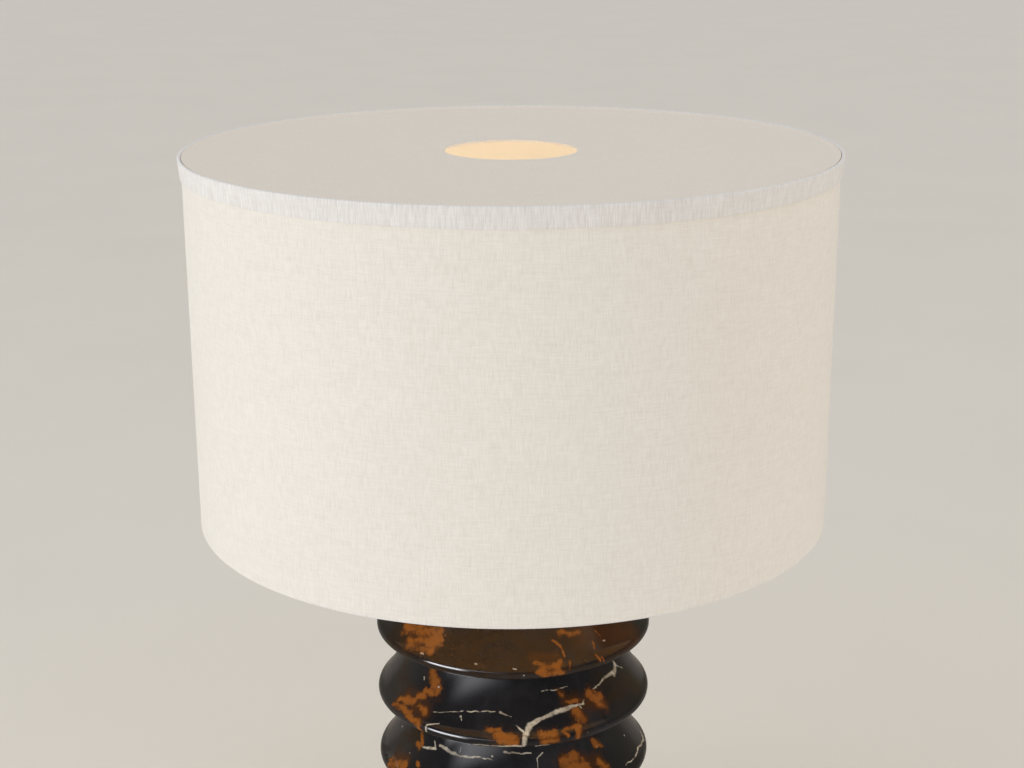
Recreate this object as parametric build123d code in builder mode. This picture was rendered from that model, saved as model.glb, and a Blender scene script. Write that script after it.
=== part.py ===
from build123d import *
from math import cos, radians, sin, sqrt
import os

# Table lamp: a turned marble column of stacked rings carries a linen drum shade on a harp.
# Millimetres, +Z up. The origin is the centre of the felt's underside, where the lamp stands.

# Clearances
SEAT_CLEARANCE = 0.3
SLIP_CLEARANCE = 0.1
RUNNING_CLEARANCE = 0.06
MOVING_GAP = 0.3
FACE_GAP = 0.1

# Marble column: one turned block of equal bell-shaped rings with rounded lips, cored to save weight
RING_COUNT = 7
RING_PITCH = 53.0
RING_DIAMETER = 206.0
RING_EDGE_BELOW = 4.2
RING_EDGE_ABOVE = 5.0
LIP_TILT = 50.0
LIP_FLARE = 20.0
RING_FACE_TILT = 36.0
TOP_RING_RISE = 30.5
GROOVE_DEPTH = 28.0
GROOVE_FLAT = 2.0
CORE_DIAMETER = 114.0
RECESS_DIAMETER = 132.0
RECESS_DEPTH = 24.0
CAP_SEAT_DIAMETER = 128.0
CAP_SEAT_DEPTH = 4.0

# Foot
FOOT_RISE = 5.3
FELT_THICKNESS = 2.0
FELT_MARGIN = 3.0
PLATE_THICKNESS = 3.0
WASHER_DIAMETER = 24.0
WASHER_THICKNESS = 1.2
NUT_ACROSS_FLATS = 16.0
NUT_HEIGHT = 5.0
NUT_CHAMFER = 0.8
PIPE_TAIL = 2.8

# Cord inlet at the back of the bottom ring's edge
GROMMET_BORE = 6.5
GROMMET_DIAMETER = 9.5
GROMMET_LENGTH = 32.0
GROMMET_FLANGE = 13.0
GROMMET_FLANGE_THICKNESS = 2.0
SPOTFACE_DEPTH = 5.0

# Threaded pipe, brass cap and neck
PIPE_DIAMETER = 9.6
PIPE_BORE = 6.4
CAP_WALL = 2.0
CAP_RISE = 6.5
CAP_CROWN_DIAMETER = 30.0
NECK_HEIGHT = 18.0
NECK_DIAMETER = 24.0
NECK_WAIST_DIAMETER = 16.0
NECK_FLANGE = 2.5

# Harp, its saddle and the two sliding ferrules
SADDLE_THICKNESS = 2.5
SADDLE_WIDTH = 14.0
SADDLE_CORNER = 3.0
HARP_FOOT_SPREAD = 62.0
SHOULDER_HEIGHT = 6.0
SHOULDER_WIDTH = 9.0
TONGUE_SIZE = 3.6
TONGUE_HEIGHT = 12.0
HARP_WIRE = 4.0
HARP_HEIGHT = 205.0
HARP_WIDTH = 108.0
HARP_LEG_STRAIGHT = 32.0
HARP_FLARE = 42.0
HARP_SHOULDER = 42.0
HARP_CROWN = 46.0
HARP_BEND_RADIUS = 30.0
HARP_PAD_LENGTH = 16.0
HARP_PAD_WIDTH = 12.0
HARP_PAD_THICKNESS = 5.0
FERRULE_BORE = 5.8
FERRULE_WALL = 0.9
FERRULE_LENGTH = 18.0
FERRULE_LIP = 0.6
FERRULE_LIP_HEIGHT = 2.0

# Stud that takes the shade and its finial
STUD_DIAMETER = 6.35
STUD_REACH = 9.5
STUD_SHANK_DIAMETER = 6.0
STUD_FLANGE_DIAMETER = 16.0
STUD_FLANGE_THICKNESS = 2.0
RIVET_HEAD_DIAMETER = 9.0
RIVET_HEAD_THICKNESS = 1.5
FINIAL_HEIGHT = 17.0
FINIAL_DIAMETER = 18.0
FINIAL_FLANGE_DIAMETER = 15.0
FINIAL_FLANGE_THICKNESS = 2.5
FINIAL_WAIST_DIAMETER = 10.0
FINIAL_BORE_SPARE = 1.5

# Lamp socket
SOCKET_CAP_HEIGHT = 18.0
SOCKET_CAP_DIAMETER = 33.4
SOCKET_CAP_WALL = 0.8
SOCKET_HUB_DIAMETER = 17.0
SOCKET_HUB_HEIGHT = 7.0
SOCKET_LEDGE_HEIGHT = 12.0
SOCKET_LEDGE_WIDTH = 2.7
SOCKET_SHELL_WALL = 0.7
SOCKET_SHELL_LENGTH = 47.0
SLEEVE_WALL = 0.5
SLEEVE_LENGTH = 45.0
BODY_LENGTH = 21.5
TERMINAL_FLAT = 3.0
TERMINAL_DROP = 6.0
TERMINAL_HEAD_DIAMETER = 6.5
TERMINAL_HEAD_HEIGHT = 1.8
TERMINAL_SHANK_DIAMETER = 3.5
TERMINAL_SHANK_LENGTH = 4.5
SCREW_SHELL_BORE = 27.0
SCREW_SHELL_WALL = 0.5
SCREW_SHELL_LENGTH = 22.0
CONTACT_DIAMETER = 9.0
CONTACT_HEIGHT = 1.0
CONTACT_BASE = 0.4
SET_SCREW_DIAMETER = 3.0
SET_SCREW_HEIGHT = 3.5

# Turn switch on the socket
SWITCH_HEIGHT = 11.5
SWITCH_SHAFT_DIAMETER = 3.2
SWITCH_SHAFT_DEPTH = 9.0
SWITCH_PORT_CLEARANCE = 0.8
KNOB_STANDOFF = 3.0
KNOB_LENGTH = 13.0
KNOB_DIAMETER = 11.0
KNOB_TIP_DIAMETER = 9.0
KNOB_SOCKET_DEPTH = 8.0
KNOB_FLUTES = 8
KNOB_FLUTE_DIAMETER = 2.4
KNOB_EDGE = 0.8

# Screw-in bulb
BULB_CAP_DIAMETER = 26.2
BULB_CAP_LENGTH = 20.0
BULB_CAP_TAPER = 2.0
BULB_TIP_DIAMETER = 9.6
BULB_TIP_HEIGHT = 1.5
BULB_COLLAR_HEIGHT = 3.5
BULB_COLLAR_TOP = 23.6
BULB_HOUSING_LENGTH = 41.0
BULB_HOUSING_WALL = 2.2
BULB_HOUSING_RIM = 28.2
BULB_BOARD_THICKNESS = 1.6
BULB_LEDGE = 2.0
GLOBE_DIAMETER = 60.0
GLOBE_WALL = 1.2
GLOBE_MOUTH = 54.0

# Drum shade
SHADE_DIAMETER = 457.0
SHADE_HEIGHT = 265.0
LINEN_THICKNESS = 0.8
LINER_THICKNESS = 1.0
SHADE_WIRE = 4.0
BAND_HEIGHT = 14.0
BAND_THICKNESS = 1.2
BAND_FLARE = 1.2
BAND_LIP = 2.0
HEM_RISE = 12.0
HEM_THICKNESS = 0.8
PANEL_THICKNESS = 1.2
PANEL_LINEN = 0.6
PANEL_HOLE = 94.0
PANEL_GAP = 0.4
SPIDER_DROP = 37.0
SPIDER_HUB_DIAMETER = 34.0
SPIDER_HUB_THICKNESS = 3.0
SPIDER_WIRE = 3.6
SPIDER_BEND_INSET = 22.0
SPIDER_BEND_RADIUS = 14.0
SPIDER_ANGLES = (30, 150, 270)

# Heights that follow from the stack of pieces
column_bottom = FELT_THICKNESS
lowest_crest = column_bottom + FOOT_RISE + RING_EDGE_BELOW
column_top = lowest_crest + (RING_COUNT - 1) * RING_PITCH + TOP_RING_RISE
recess_top = column_bottom + RECESS_DEPTH
plate_bottom = recess_top - PLATE_THICKNESS
washer_bottom = plate_bottom - WASHER_THICKNESS
nut_bottom = washer_bottom - NUT_HEIGHT
pipe_bottom = nut_bottom - PIPE_TAIL
cap_top = column_top + CAP_RISE
neck_top = cap_top + NECK_HEIGHT
saddle_top = neck_top + SADDLE_THICKNESS
shoulder_top = neck_top + SHOULDER_HEIGHT
tongue_top = shoulder_top + TONGUE_HEIGHT
shade_seat = neck_top + HARP_HEIGHT
pad_top = shade_seat - STUD_FLANGE_THICKNESS
harp_crown = pad_top - HARP_PAD_THICKNESS / 2
hub_bottom = shade_seat + FACE_GAP
hub_middle = hub_bottom + SPIDER_HUB_THICKNESS / 2
hub_top = hub_bottom + SPIDER_HUB_THICKNESS
finial_bottom = hub_top + FACE_GAP
stud_top = finial_bottom + STUD_REACH
top_wire_height = hub_middle + SPIDER_DROP
panel_bottom = top_wire_height + SHADE_WIRE / 2
panel_top = panel_bottom + PANEL_THICKNESS
diffuser_top = panel_top + PANEL_LINEN
shade_top = diffuser_top + BAND_LIP
shade_bottom = shade_top - SHADE_HEIGHT
ledge_height = saddle_top + SOCKET_LEDGE_HEIGHT
body_top = ledge_height + BODY_LENGTH
switch_axis = ledge_height + SWITCH_HEIGHT
bulb_bottom = body_top + CONTACT_HEIGHT + FACE_GAP
collar_bottom = bulb_bottom + BULB_TIP_HEIGHT
bulb_cap_bottom = collar_bottom + BULB_COLLAR_HEIGHT
bulb_cap_top = bulb_cap_bottom + BULB_CAP_LENGTH
housing_top = bulb_cap_top + BULB_HOUSING_LENGTH
board_bottom = housing_top - BULB_BOARD_THICKNESS

# Radii that several pieces share
ring_radius = RING_DIAMETER / 2
groove_radius = ring_radius - GROOVE_DEPTH
foot_radius = ring_radius - RING_EDGE_BELOW
recess_radius = RECESS_DIAMETER / 2
core_radius = CORE_DIAMETER / 2
pipe_radius = PIPE_DIAMETER / 2
pipe_hole = pipe_radius + SLIP_CLEARANCE
linen_inside = SHADE_DIAMETER / 2 - LINEN_THICKNESS
liner_inside = linen_inside - LINER_THICKNESS
shade_wire_radius = liner_inside - SHADE_WIRE / 2
stud_radius = STUD_DIAMETER / 2
stud_hole = stud_radius + RUNNING_CLEARANCE
socket_rim_inside = SOCKET_CAP_DIAMETER / 2 - SOCKET_CAP_WALL
shell_outside = socket_rim_inside - SLIP_CLEARANCE
shell_inside = shell_outside - SOCKET_SHELL_WALL
sleeve_outside = shell_inside - SLIP_CLEARANCE
sleeve_inside = sleeve_outside - SLEEVE_WALL
body_radius = sleeve_inside - SEAT_CLEARANCE
switch_radius = SWITCH_SHAFT_DIAMETER / 2
knob_start = -(SOCKET_CAP_DIAMETER / 2 + KNOB_STANDOFF)
harp_foot = HARP_FOOT_SPREAD / 2

# A ring's lip is rounded and flares into a slightly hollow face, which rises to the groove under the next ring
lip_tilt = radians(LIP_TILT)
lip_end = ring_radius - RING_EDGE_ABOVE * (1 - cos(lip_tilt))
lip_end_rise = RING_EDGE_ABOVE * sin(lip_tilt)
face_tilt = radians(RING_FACE_TILT)
face_start = lip_end - LIP_FLARE * (cos(face_tilt) - cos(lip_tilt))
face_start_rise = lip_end_rise + LIP_FLARE * (sin(lip_tilt) - sin(face_tilt))
face_end_rise = RING_PITCH - RING_EDGE_BELOW - GROOVE_FLAT
spotface = ring_radius - SPOTFACE_DEPTH
flange_seat = spotface - GROMMET_FLANGE_THICKNESS

os.makedirs("parts", exist_ok=True)


def write(builder, name):
    """Label one finished piece and write its STEP file."""
    builder.part.label = name
    export_step(builder.part, f"parts/{name}.step")


def plane_facing_back(distance, height):
    """A plane square to +Y, so that a profile on it extrudes towards the back."""
    return Plane(origin=(0, distance, height), x_dir=(1, 0, 0), z_dir=(0, 1, 0))


def radial_plane(angle):
    """An upright plane through the lamp's axis: local x runs outwards, local y runs up."""
    turn = radians(angle)
    return Plane(origin=(0, 0, 0), x_dir=(cos(turn), sin(turn), 0), z_dir=(sin(turn), -cos(turn), 0))


# Marble column
blank_top = lowest_crest + RING_COUNT * RING_PITCH - RING_EDGE_BELOW
with BuildPart() as marble_column:
    with BuildSketch(Plane.XZ):
        with BuildLine():
            Polyline((0, blank_top), (0, column_bottom), (foot_radius, column_bottom))
            Line((foot_radius, column_bottom), (foot_radius, lowest_crest - RING_EDGE_BELOW))
            for ring in range(RING_COUNT):
                crest = lowest_crest + ring * RING_PITCH
                underside = crest - RING_EDGE_BELOW
                face_top = crest + face_end_rise
                if ring > 0:
                    Line((groove_radius, underside), (foot_radius, underside))
                TangentArc((foot_radius, underside), (ring_radius, crest), tangent=(1, 0))
                TangentArc((ring_radius, crest), (lip_end, crest + lip_end_rise), tangent=(0, 1))
                TangentArc(
                    (lip_end, crest + lip_end_rise),
                    (face_start, crest + face_start_rise),
                    tangent=(-sin(lip_tilt), cos(lip_tilt)),
                )
                TangentArc(
                    (face_start, crest + face_start_rise),
                    (groove_radius, face_top),
                    tangent=(-sin(face_tilt), cos(face_tilt)),
                )
                Line((groove_radius, face_top), (groove_radius, face_top + GROOVE_FLAT))
            Line((groove_radius, blank_top), (0, blank_top))
        make_face()
    revolve(axis=Axis.Z)
    split(bisect_by=Plane.XY.offset(column_top), keep=Keep.BOTTOM)
    for bottom, radius, depth in (
        (column_bottom, recess_radius, RECESS_DEPTH),
        (column_bottom, core_radius, column_top - column_bottom),
        (column_top - CAP_SEAT_DEPTH, CAP_SEAT_DIAMETER / 2, CAP_SEAT_DEPTH),
    ):
        with BuildSketch(Plane.XY.offset(bottom)):
            Circle(radius)
        extrude(amount=depth, mode=Mode.SUBTRACT)
    with BuildSketch(plane_facing_back(core_radius, lowest_crest)):
        Circle(GROMMET_DIAMETER / 2 + SLIP_CLEARANCE)
    extrude(amount=ring_radius, mode=Mode.SUBTRACT)
    with BuildSketch(plane_facing_back(flange_seat, lowest_crest)):
        Circle(GROMMET_FLANGE / 2 + SEAT_CLEARANCE)
    extrude(amount=ring_radius, mode=Mode.SUBTRACT)
write(marble_column, "marble_column")

# Felt under the foot
with BuildPart() as felt_pad:
    with BuildSketch():
        Circle(foot_radius - FELT_MARGIN)
    extrude(amount=FELT_THICKNESS)
write(felt_pad, "felt_pad")

# Steel plate in the foot's recess, which the pipe's nut pulls against the stone
with BuildPart() as base_plate:
    with BuildSketch(Plane.XY.offset(plate_bottom)):
        Circle(recess_radius - SEAT_CLEARANCE)
        Circle(pipe_hole, mode=Mode.SUBTRACT)
    extrude(amount=PLATE_THICKNESS)
write(base_plate, "base_plate")

with BuildPart() as pipe_washer:
    with BuildSketch(Plane.XY.offset(washer_bottom)):
        Circle(WASHER_DIAMETER / 2)
        Circle(pipe_hole, mode=Mode.SUBTRACT)
    extrude(amount=WASHER_THICKNESS)
write(pipe_washer, "pipe_washer")

with BuildPart() as pipe_nut:
    with BuildSketch(Plane.XY.offset(nut_bottom)):
        RegularPolygon(radius=NUT_ACROSS_FLATS / 2, side_count=6, major_radius=False)
    extrude(amount=NUT_HEIGHT)
    chamfer(pipe_nut.faces().sort_by(Axis.Z)[0].edges(), length=NUT_CHAMFER)
    with BuildSketch(Plane.XY.offset(nut_bottom)):
        Circle(pipe_hole)
    extrude(amount=NUT_HEIGHT, mode=Mode.SUBTRACT)
write(pipe_nut, "pipe_nut")

# Threaded pipe from the foot's nut to the socket, hollow for the wire
with BuildPart() as threaded_pipe:
    with BuildSketch(Plane.XY.offset(pipe_bottom)):
        Circle(pipe_radius)
        Circle(PIPE_BORE / 2, mode=Mode.SUBTRACT)
    extrude(amount=saddle_top + SOCKET_HUB_HEIGHT - pipe_bottom)
write(threaded_pipe, "threaded_pipe")

# Flanged bush that lines the cord's way through the stone
with BuildPart() as cord_grommet:
    with BuildSketch(plane_facing_back(flange_seat - GROMMET_LENGTH, lowest_crest)):
        Circle(GROMMET_DIAMETER / 2)
    extrude(amount=GROMMET_LENGTH)
    with BuildSketch(plane_facing_back(flange_seat, lowest_crest)):
        Circle(GROMMET_FLANGE / 2)
    extrude(amount=GROMMET_FLANGE_THICKNESS)
    fillet(cord_grommet.edges().sort_by(Axis.Y)[-1], radius=GROMMET_FLANGE_THICKNESS / 2)
    with BuildSketch(plane_facing_back(flange_seat - GROMMET_LENGTH, lowest_crest)):
        Circle(GROMMET_BORE / 2)
    extrude(amount=GROMMET_LENGTH + GROMMET_FLANGE_THICKNESS, mode=Mode.SUBTRACT)
write(cord_grommet, "cord_grommet")

# Spun brass cap, let into the top of the stone
cap_radius = CAP_SEAT_DIAMETER / 2 - SEAT_CLEARANCE
cap_crown = CAP_CROWN_DIAMETER / 2
cap_bottom = column_top - CAP_SEAT_DEPTH
with BuildPart() as top_cap:
    with BuildSketch(Plane.XZ):
        with BuildLine():
            Polyline(
                (pipe_hole, cap_top - CAP_WALL),
                (pipe_hole, cap_top),
                (cap_crown, cap_top),
            )
            TangentArc((cap_crown, cap_top), (cap_radius, column_top), tangent=(1, 0))
            Polyline(
                (cap_radius, column_top),
                (cap_radius, cap_bottom),
                (cap_radius - CAP_WALL, cap_bottom),
                (cap_radius - CAP_WALL, column_top - CAP_WALL),
            )
            TangentArc(
                (cap_crown, cap_top - CAP_WALL),
                (cap_radius - CAP_WALL, column_top - CAP_WALL),
                tangent=(1, 0),
            )
            Line((cap_crown, cap_top - CAP_WALL), (pipe_hole, cap_top - CAP_WALL))
        make_face()
    revolve(axis=Axis.Z)
write(top_cap, "top_cap")

# Turned brass neck between the cap and the saddle
neck_radius = NECK_DIAMETER / 2
with BuildPart() as neck:
    with BuildSketch(Plane.XZ):
        with BuildLine():
            Polyline(
                (neck_radius, cap_top + NECK_FLANGE),
                (neck_radius, cap_top),
                (pipe_hole, cap_top),
                (pipe_hole, neck_top),
                (neck_radius, neck_top),
                (neck_radius, neck_top - NECK_FLANGE),
            )
            ThreePointArc(
                (neck_radius, neck_top - NECK_FLANGE),
                (NECK_WAIST_DIAMETER / 2, (cap_top + neck_top) / 2),
                (neck_radius, cap_top + NECK_FLANGE),
            )
        make_face()
    revolve(axis=Axis.Z)
write(neck, "neck")

# Harp saddle: a strip clamped under the socket, with a shouldered tongue at each end
with BuildPart() as harp_saddle:
    with BuildSketch(Plane.XY.offset(neck_top)):
        RectangleRounded(HARP_FOOT_SPREAD + SHOULDER_WIDTH, SADDLE_WIDTH, SADDLE_CORNER)
        Circle(pipe_hole, mode=Mode.SUBTRACT)
    extrude(amount=SADDLE_THICKNESS)
    with BuildSketch(Plane.XY.offset(neck_top)):
        with Locations((-harp_foot, 0), (harp_foot, 0)):
            Rectangle(TONGUE_SIZE, SHOULDER_WIDTH)
    extrude(amount=SHOULDER_HEIGHT)
    with BuildSketch(Plane.XY.offset(neck_top)):
        with Locations((-harp_foot, 0), (harp_foot, 0)):
            Rectangle(TONGUE_SIZE, TONGUE_SIZE)
    extrude(amount=SHOULDER_HEIGHT + TONGUE_HEIGHT)
write(harp_saddle, "harp_saddle")

# Harp: one bent wire that stands on the tongues, flattened at the top for the stud
leg_top = tongue_top + HARP_LEG_STRAIGHT
right_side = [
    (harp_foot, tongue_top),
    (harp_foot, leg_top),
    (HARP_WIDTH / 2, leg_top + HARP_FLARE),
    (HARP_WIDTH / 2, harp_crown - HARP_SHOULDER),
    (HARP_CROWN / 2, harp_crown),
]
left_side = [(-x, z) for x, z in reversed(right_side)]
with BuildPart() as harp:
    with BuildLine(Plane.XZ):
        FilletPolyline(*right_side, *left_side, radius=HARP_BEND_RADIUS)
    with BuildSketch(Plane.XY.offset(tongue_top)):
        with Locations((harp_foot, 0)):
            Circle(HARP_WIRE / 2)
    sweep()
    with BuildSketch(Plane.XY.offset(pad_top - HARP_PAD_THICKNESS)):
        RectangleRounded(HARP_PAD_LENGTH, HARP_PAD_WIDTH, SADDLE_CORNER)
    extrude(amount=HARP_PAD_THICKNESS)
    with BuildSketch(Plane.XY.offset(pad_top - HARP_PAD_THICKNESS)):
        Circle(STUD_SHANK_DIAMETER / 2 + SLIP_CLEARANCE)
    extrude(amount=HARP_PAD_THICKNESS, mode=Mode.SUBTRACT)
write(harp, "harp")

# Ferrules that slide up the harp's legs to free them from the tongues
ferrule_bottom = shoulder_top + MOVING_GAP
ferrule_bore = FERRULE_BORE / 2
ferrule_outside = ferrule_bore + FERRULE_WALL
for side, sign in (("left", -1), ("right", 1)):
    with BuildPart() as harp_ferrule:
        with BuildSketch(Plane.XY.offset(ferrule_bottom)):
            with Locations((sign * harp_foot, 0)):
                Circle(ferrule_outside)
        extrude(amount=FERRULE_LENGTH)
        with BuildSketch(Plane.XY.offset(ferrule_bottom)):
            with Locations((sign * harp_foot, 0)):
                Circle(ferrule_outside + FERRULE_LIP)
        extrude(amount=FERRULE_LIP_HEIGHT)
        with BuildSketch(Plane.XY.offset(ferrule_bottom)):
            with Locations((sign * harp_foot, 0)):
                Circle(ferrule_bore)
        extrude(amount=FERRULE_LENGTH, mode=Mode.SUBTRACT)
    write(harp_ferrule, f"harp_ferrule_{side}")

# Riveted stud on the harp: flange for the shade, thread for the finial
rivet_bottom = pad_top - HARP_PAD_THICKNESS - RIVET_HEAD_THICKNESS
with BuildPart() as shade_stud:
    with BuildSketch(Plane.XZ):
        with BuildLine():
            Polyline(
                (0, rivet_bottom),
                (RIVET_HEAD_DIAMETER / 2, rivet_bottom),
                (RIVET_HEAD_DIAMETER / 2, rivet_bottom + RIVET_HEAD_THICKNESS),
                (STUD_SHANK_DIAMETER / 2, rivet_bottom + RIVET_HEAD_THICKNESS),
                (STUD_SHANK_DIAMETER / 2, pad_top),
                (STUD_FLANGE_DIAMETER / 2, pad_top),
                (STUD_FLANGE_DIAMETER / 2, shade_seat),
                (stud_radius, shade_seat),
                (stud_radius, stud_top),
                (0, stud_top),
                close=True,
            )
        make_face()
    revolve(axis=Axis.Z)
write(shade_stud, "shade_stud")

# Finial: a low turned knob that holds the shade down
finial_top = finial_bottom + FINIAL_HEIGHT
finial_shoulder = finial_bottom + FINIAL_FLANGE_THICKNESS
finial_equator = finial_top - FINIAL_DIAMETER / 4
with BuildPart() as finial:
    with BuildSketch(Plane.XZ):
        with BuildLine():
            Polyline(
                (0, finial_bottom),
                (FINIAL_FLANGE_DIAMETER / 2, finial_bottom),
                (FINIAL_FLANGE_DIAMETER / 2, finial_shoulder),
                (FINIAL_WAIST_DIAMETER / 2, finial_shoulder),
            )
            Spline(
                (FINIAL_WAIST_DIAMETER / 2, finial_shoulder),
                (FINIAL_DIAMETER / 2, finial_equator),
                tangents=((0, 1), (0, 1)),
            )
            Spline(
                (FINIAL_DIAMETER / 2, finial_equator),
                (0, finial_top),
                tangents=((0, 1), (-1, 0)),
            )
            Line((0, finial_top), (0, finial_bottom))
        make_face()
    revolve(axis=Axis.Z)
    with BuildSketch(Plane.XY.offset(finial_bottom)):
        Circle(stud_hole)
    extrude(amount=STUD_REACH + FINIAL_BORE_SPARE, mode=Mode.SUBTRACT)
write(finial, "finial")

# Socket cap: hub on the pipe, bowl with a ledge for the shell and the switch body
hub_radius = SOCKET_HUB_DIAMETER / 2
bowl_radius = SOCKET_CAP_DIAMETER / 2
hub_height = saddle_top + SOCKET_HUB_HEIGHT
ledge_inside = socket_rim_inside - SOCKET_LEDGE_WIDTH
set_screw_axis = saddle_top + SET_SCREW_HEIGHT
with BuildPart() as socket_cap:
    with BuildSketch(Plane.XZ):
        with BuildLine():
            Polyline(
                (pipe_hole, hub_height + SOCKET_CAP_WALL),
                (pipe_hole, saddle_top),
                (hub_radius, saddle_top),
                (hub_radius, hub_height),
            )
            TangentArc((bowl_radius, ledge_height), (hub_radius, hub_height), tangent=(0, -1))
            Polyline(
                (bowl_radius, ledge_height),
                (bowl_radius, saddle_top + SOCKET_CAP_HEIGHT),
                (socket_rim_inside, saddle_top + SOCKET_CAP_HEIGHT),
                (socket_rim_inside, ledge_height),
                (ledge_inside, ledge_height),
                (hub_radius, hub_height + SOCKET_CAP_WALL),
                (pipe_hole, hub_height + SOCKET_CAP_WALL),
            )
        make_face()
    revolve(axis=Axis.Z)
    with BuildSketch(plane_facing_back(0, set_screw_axis)):
        Circle(SET_SCREW_DIAMETER / 2 + RUNNING_CLEARANCE)
    extrude(amount=hub_radius + SET_SCREW_DIAMETER, mode=Mode.SUBTRACT)
write(socket_cap, "socket_cap")

with BuildPart() as socket_set_screw:
    with BuildSketch(plane_facing_back(pipe_radius, set_screw_axis)):
        Circle(SET_SCREW_DIAMETER / 2)
    extrude(amount=hub_radius - pipe_radius)
write(socket_set_screw, "socket_set_screw")

# Socket shell and the insulating sleeve inside it, both open where the switch comes out
switch_port = switch_radius + SWITCH_PORT_CLEARANCE
with BuildPart() as socket_shell:
    with BuildSketch(Plane.XY.offset(ledge_height)):
        Circle(shell_outside)
        Circle(shell_inside, mode=Mode.SUBTRACT)
    extrude(amount=SOCKET_SHELL_LENGTH)
    with BuildSketch(plane_facing_back(0, switch_axis)):
        Circle(switch_port)
    extrude(amount=-SOCKET_CAP_DIAMETER, mode=Mode.SUBTRACT)
write(socket_shell, "socket_shell")

with BuildPart() as socket_sleeve:
    with BuildSketch(Plane.XY.offset(ledge_height)):
        Circle(sleeve_outside)
        Circle(sleeve_inside, mode=Mode.SUBTRACT)
    extrude(amount=SLEEVE_LENGTH)
    with BuildSketch(plane_facing_back(0, switch_axis)):
        Circle(switch_port)
    extrude(amount=-SOCKET_CAP_DIAMETER, mode=Mode.SUBTRACT)
write(socket_sleeve, "socket_sleeve")

# Moulded switch body with a flat and a terminal on each side
terminal_seat = body_radius - TERMINAL_FLAT
terminal_axis = body_top - TERMINAL_DROP
with BuildPart() as socket_body:
    with BuildSketch(Plane.XY.offset(ledge_height)):
        Circle(body_radius)
        with Locations((-2 * body_radius + TERMINAL_FLAT, 0), (2 * body_radius - TERMINAL_FLAT, 0)):
            Rectangle(2 * body_radius, 2 * body_radius, mode=Mode.SUBTRACT)
    extrude(amount=BODY_LENGTH)
    with BuildSketch(plane_facing_back(0, switch_axis)):
        Circle(switch_radius + RUNNING_CLEARANCE)
    extrude(amount=-body_radius, mode=Mode.SUBTRACT)
    with BuildSketch(Plane.YZ.offset(-terminal_seat)):
        with Locations((0, terminal_axis)):
            Circle(TERMINAL_SHANK_DIAMETER / 2)
    extrude(amount=TERMINAL_SHANK_LENGTH, mode=Mode.SUBTRACT)
    with BuildSketch(Plane.YZ.offset(terminal_seat)):
        with Locations((0, terminal_axis)):
            Circle(TERMINAL_SHANK_DIAMETER / 2)
    extrude(amount=-TERMINAL_SHANK_LENGTH, mode=Mode.SUBTRACT)
write(socket_body, "socket_body")

with BuildPart() as terminal_screws:
    for sign in (-1, 1):
        with BuildSketch(Plane.YZ.offset(sign * terminal_seat)):
            with Locations((0, terminal_axis)):
                Circle(TERMINAL_HEAD_DIAMETER / 2)
        extrude(amount=sign * TERMINAL_HEAD_HEIGHT)
        with BuildSketch(Plane.YZ.offset(sign * terminal_seat)):
            with Locations((0, terminal_axis)):
                Circle(TERMINAL_SHANK_DIAMETER / 2)
        extrude(amount=-sign * TERMINAL_SHANK_LENGTH)
write(terminal_screws, "terminal_screws")

# Screw shell that takes the bulb, and the contact at its bottom
screw_shell_inside = SCREW_SHELL_BORE / 2
screw_shell_outside = screw_shell_inside + SCREW_SHELL_WALL
with BuildPart() as screw_shell:
    with BuildSketch(Plane.XY.offset(body_top)):
        Circle(screw_shell_outside)
        Circle(screw_shell_inside, mode=Mode.SUBTRACT)
    extrude(amount=SCREW_SHELL_LENGTH)
    with BuildSketch(Plane.XY.offset(body_top)):
        Circle(screw_shell_outside)
        Circle(CONTACT_DIAMETER / 2 + 2 * SEAT_CLEARANCE, mode=Mode.SUBTRACT)
    extrude(amount=SCREW_SHELL_WALL)
write(screw_shell, "screw_shell")

with BuildPart() as center_contact:
    with BuildSketch(Plane.XY.offset(body_top)):
        Circle(CONTACT_DIAMETER / 2)
    extrude(amount=CONTACT_BASE)
    with BuildSketch(Plane.XY.offset(body_top)):
        Circle(CONTACT_DIAMETER / 3)
    extrude(amount=CONTACT_HEIGHT)
write(center_contact, "center_contact")

# Turn switch: shaft from the switch body to a fluted knob
shaft_inner_end = SWITCH_SHAFT_DEPTH - body_radius
knob_socket_end = knob_start - KNOB_SOCKET_DEPTH
with BuildPart() as switch_shaft:
    with BuildSketch(plane_facing_back(shaft_inner_end, switch_axis)):
        Circle(switch_radius)
    extrude(amount=knob_socket_end - shaft_inner_end)
write(switch_shaft, "switch_shaft")

knob_plane = Plane(origin=(0, knob_start, switch_axis), x_dir=(1, 0, 0), z_dir=(0, -1, 0))
with BuildPart() as switch_knob:
    with BuildSketch(knob_plane):
        Circle(KNOB_DIAMETER / 2)
    with BuildSketch(knob_plane.offset(KNOB_LENGTH)):
        Circle(KNOB_TIP_DIAMETER / 2)
    loft()
    fillet(switch_knob.edges().sort_by(Axis.Y)[0], radius=KNOB_EDGE)
    with BuildSketch(knob_plane):
        with PolarLocations(KNOB_DIAMETER / 2 + KNOB_FLUTE_DIAMETER / 4, KNOB_FLUTES):
            Circle(KNOB_FLUTE_DIAMETER / 2)
    extrude(amount=KNOB_LENGTH, mode=Mode.SUBTRACT)
    with BuildSketch(knob_plane):
        Circle(switch_radius)
    extrude(amount=KNOB_SOCKET_DEPTH, mode=Mode.SUBTRACT)
write(switch_knob, "switch_knob")

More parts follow.
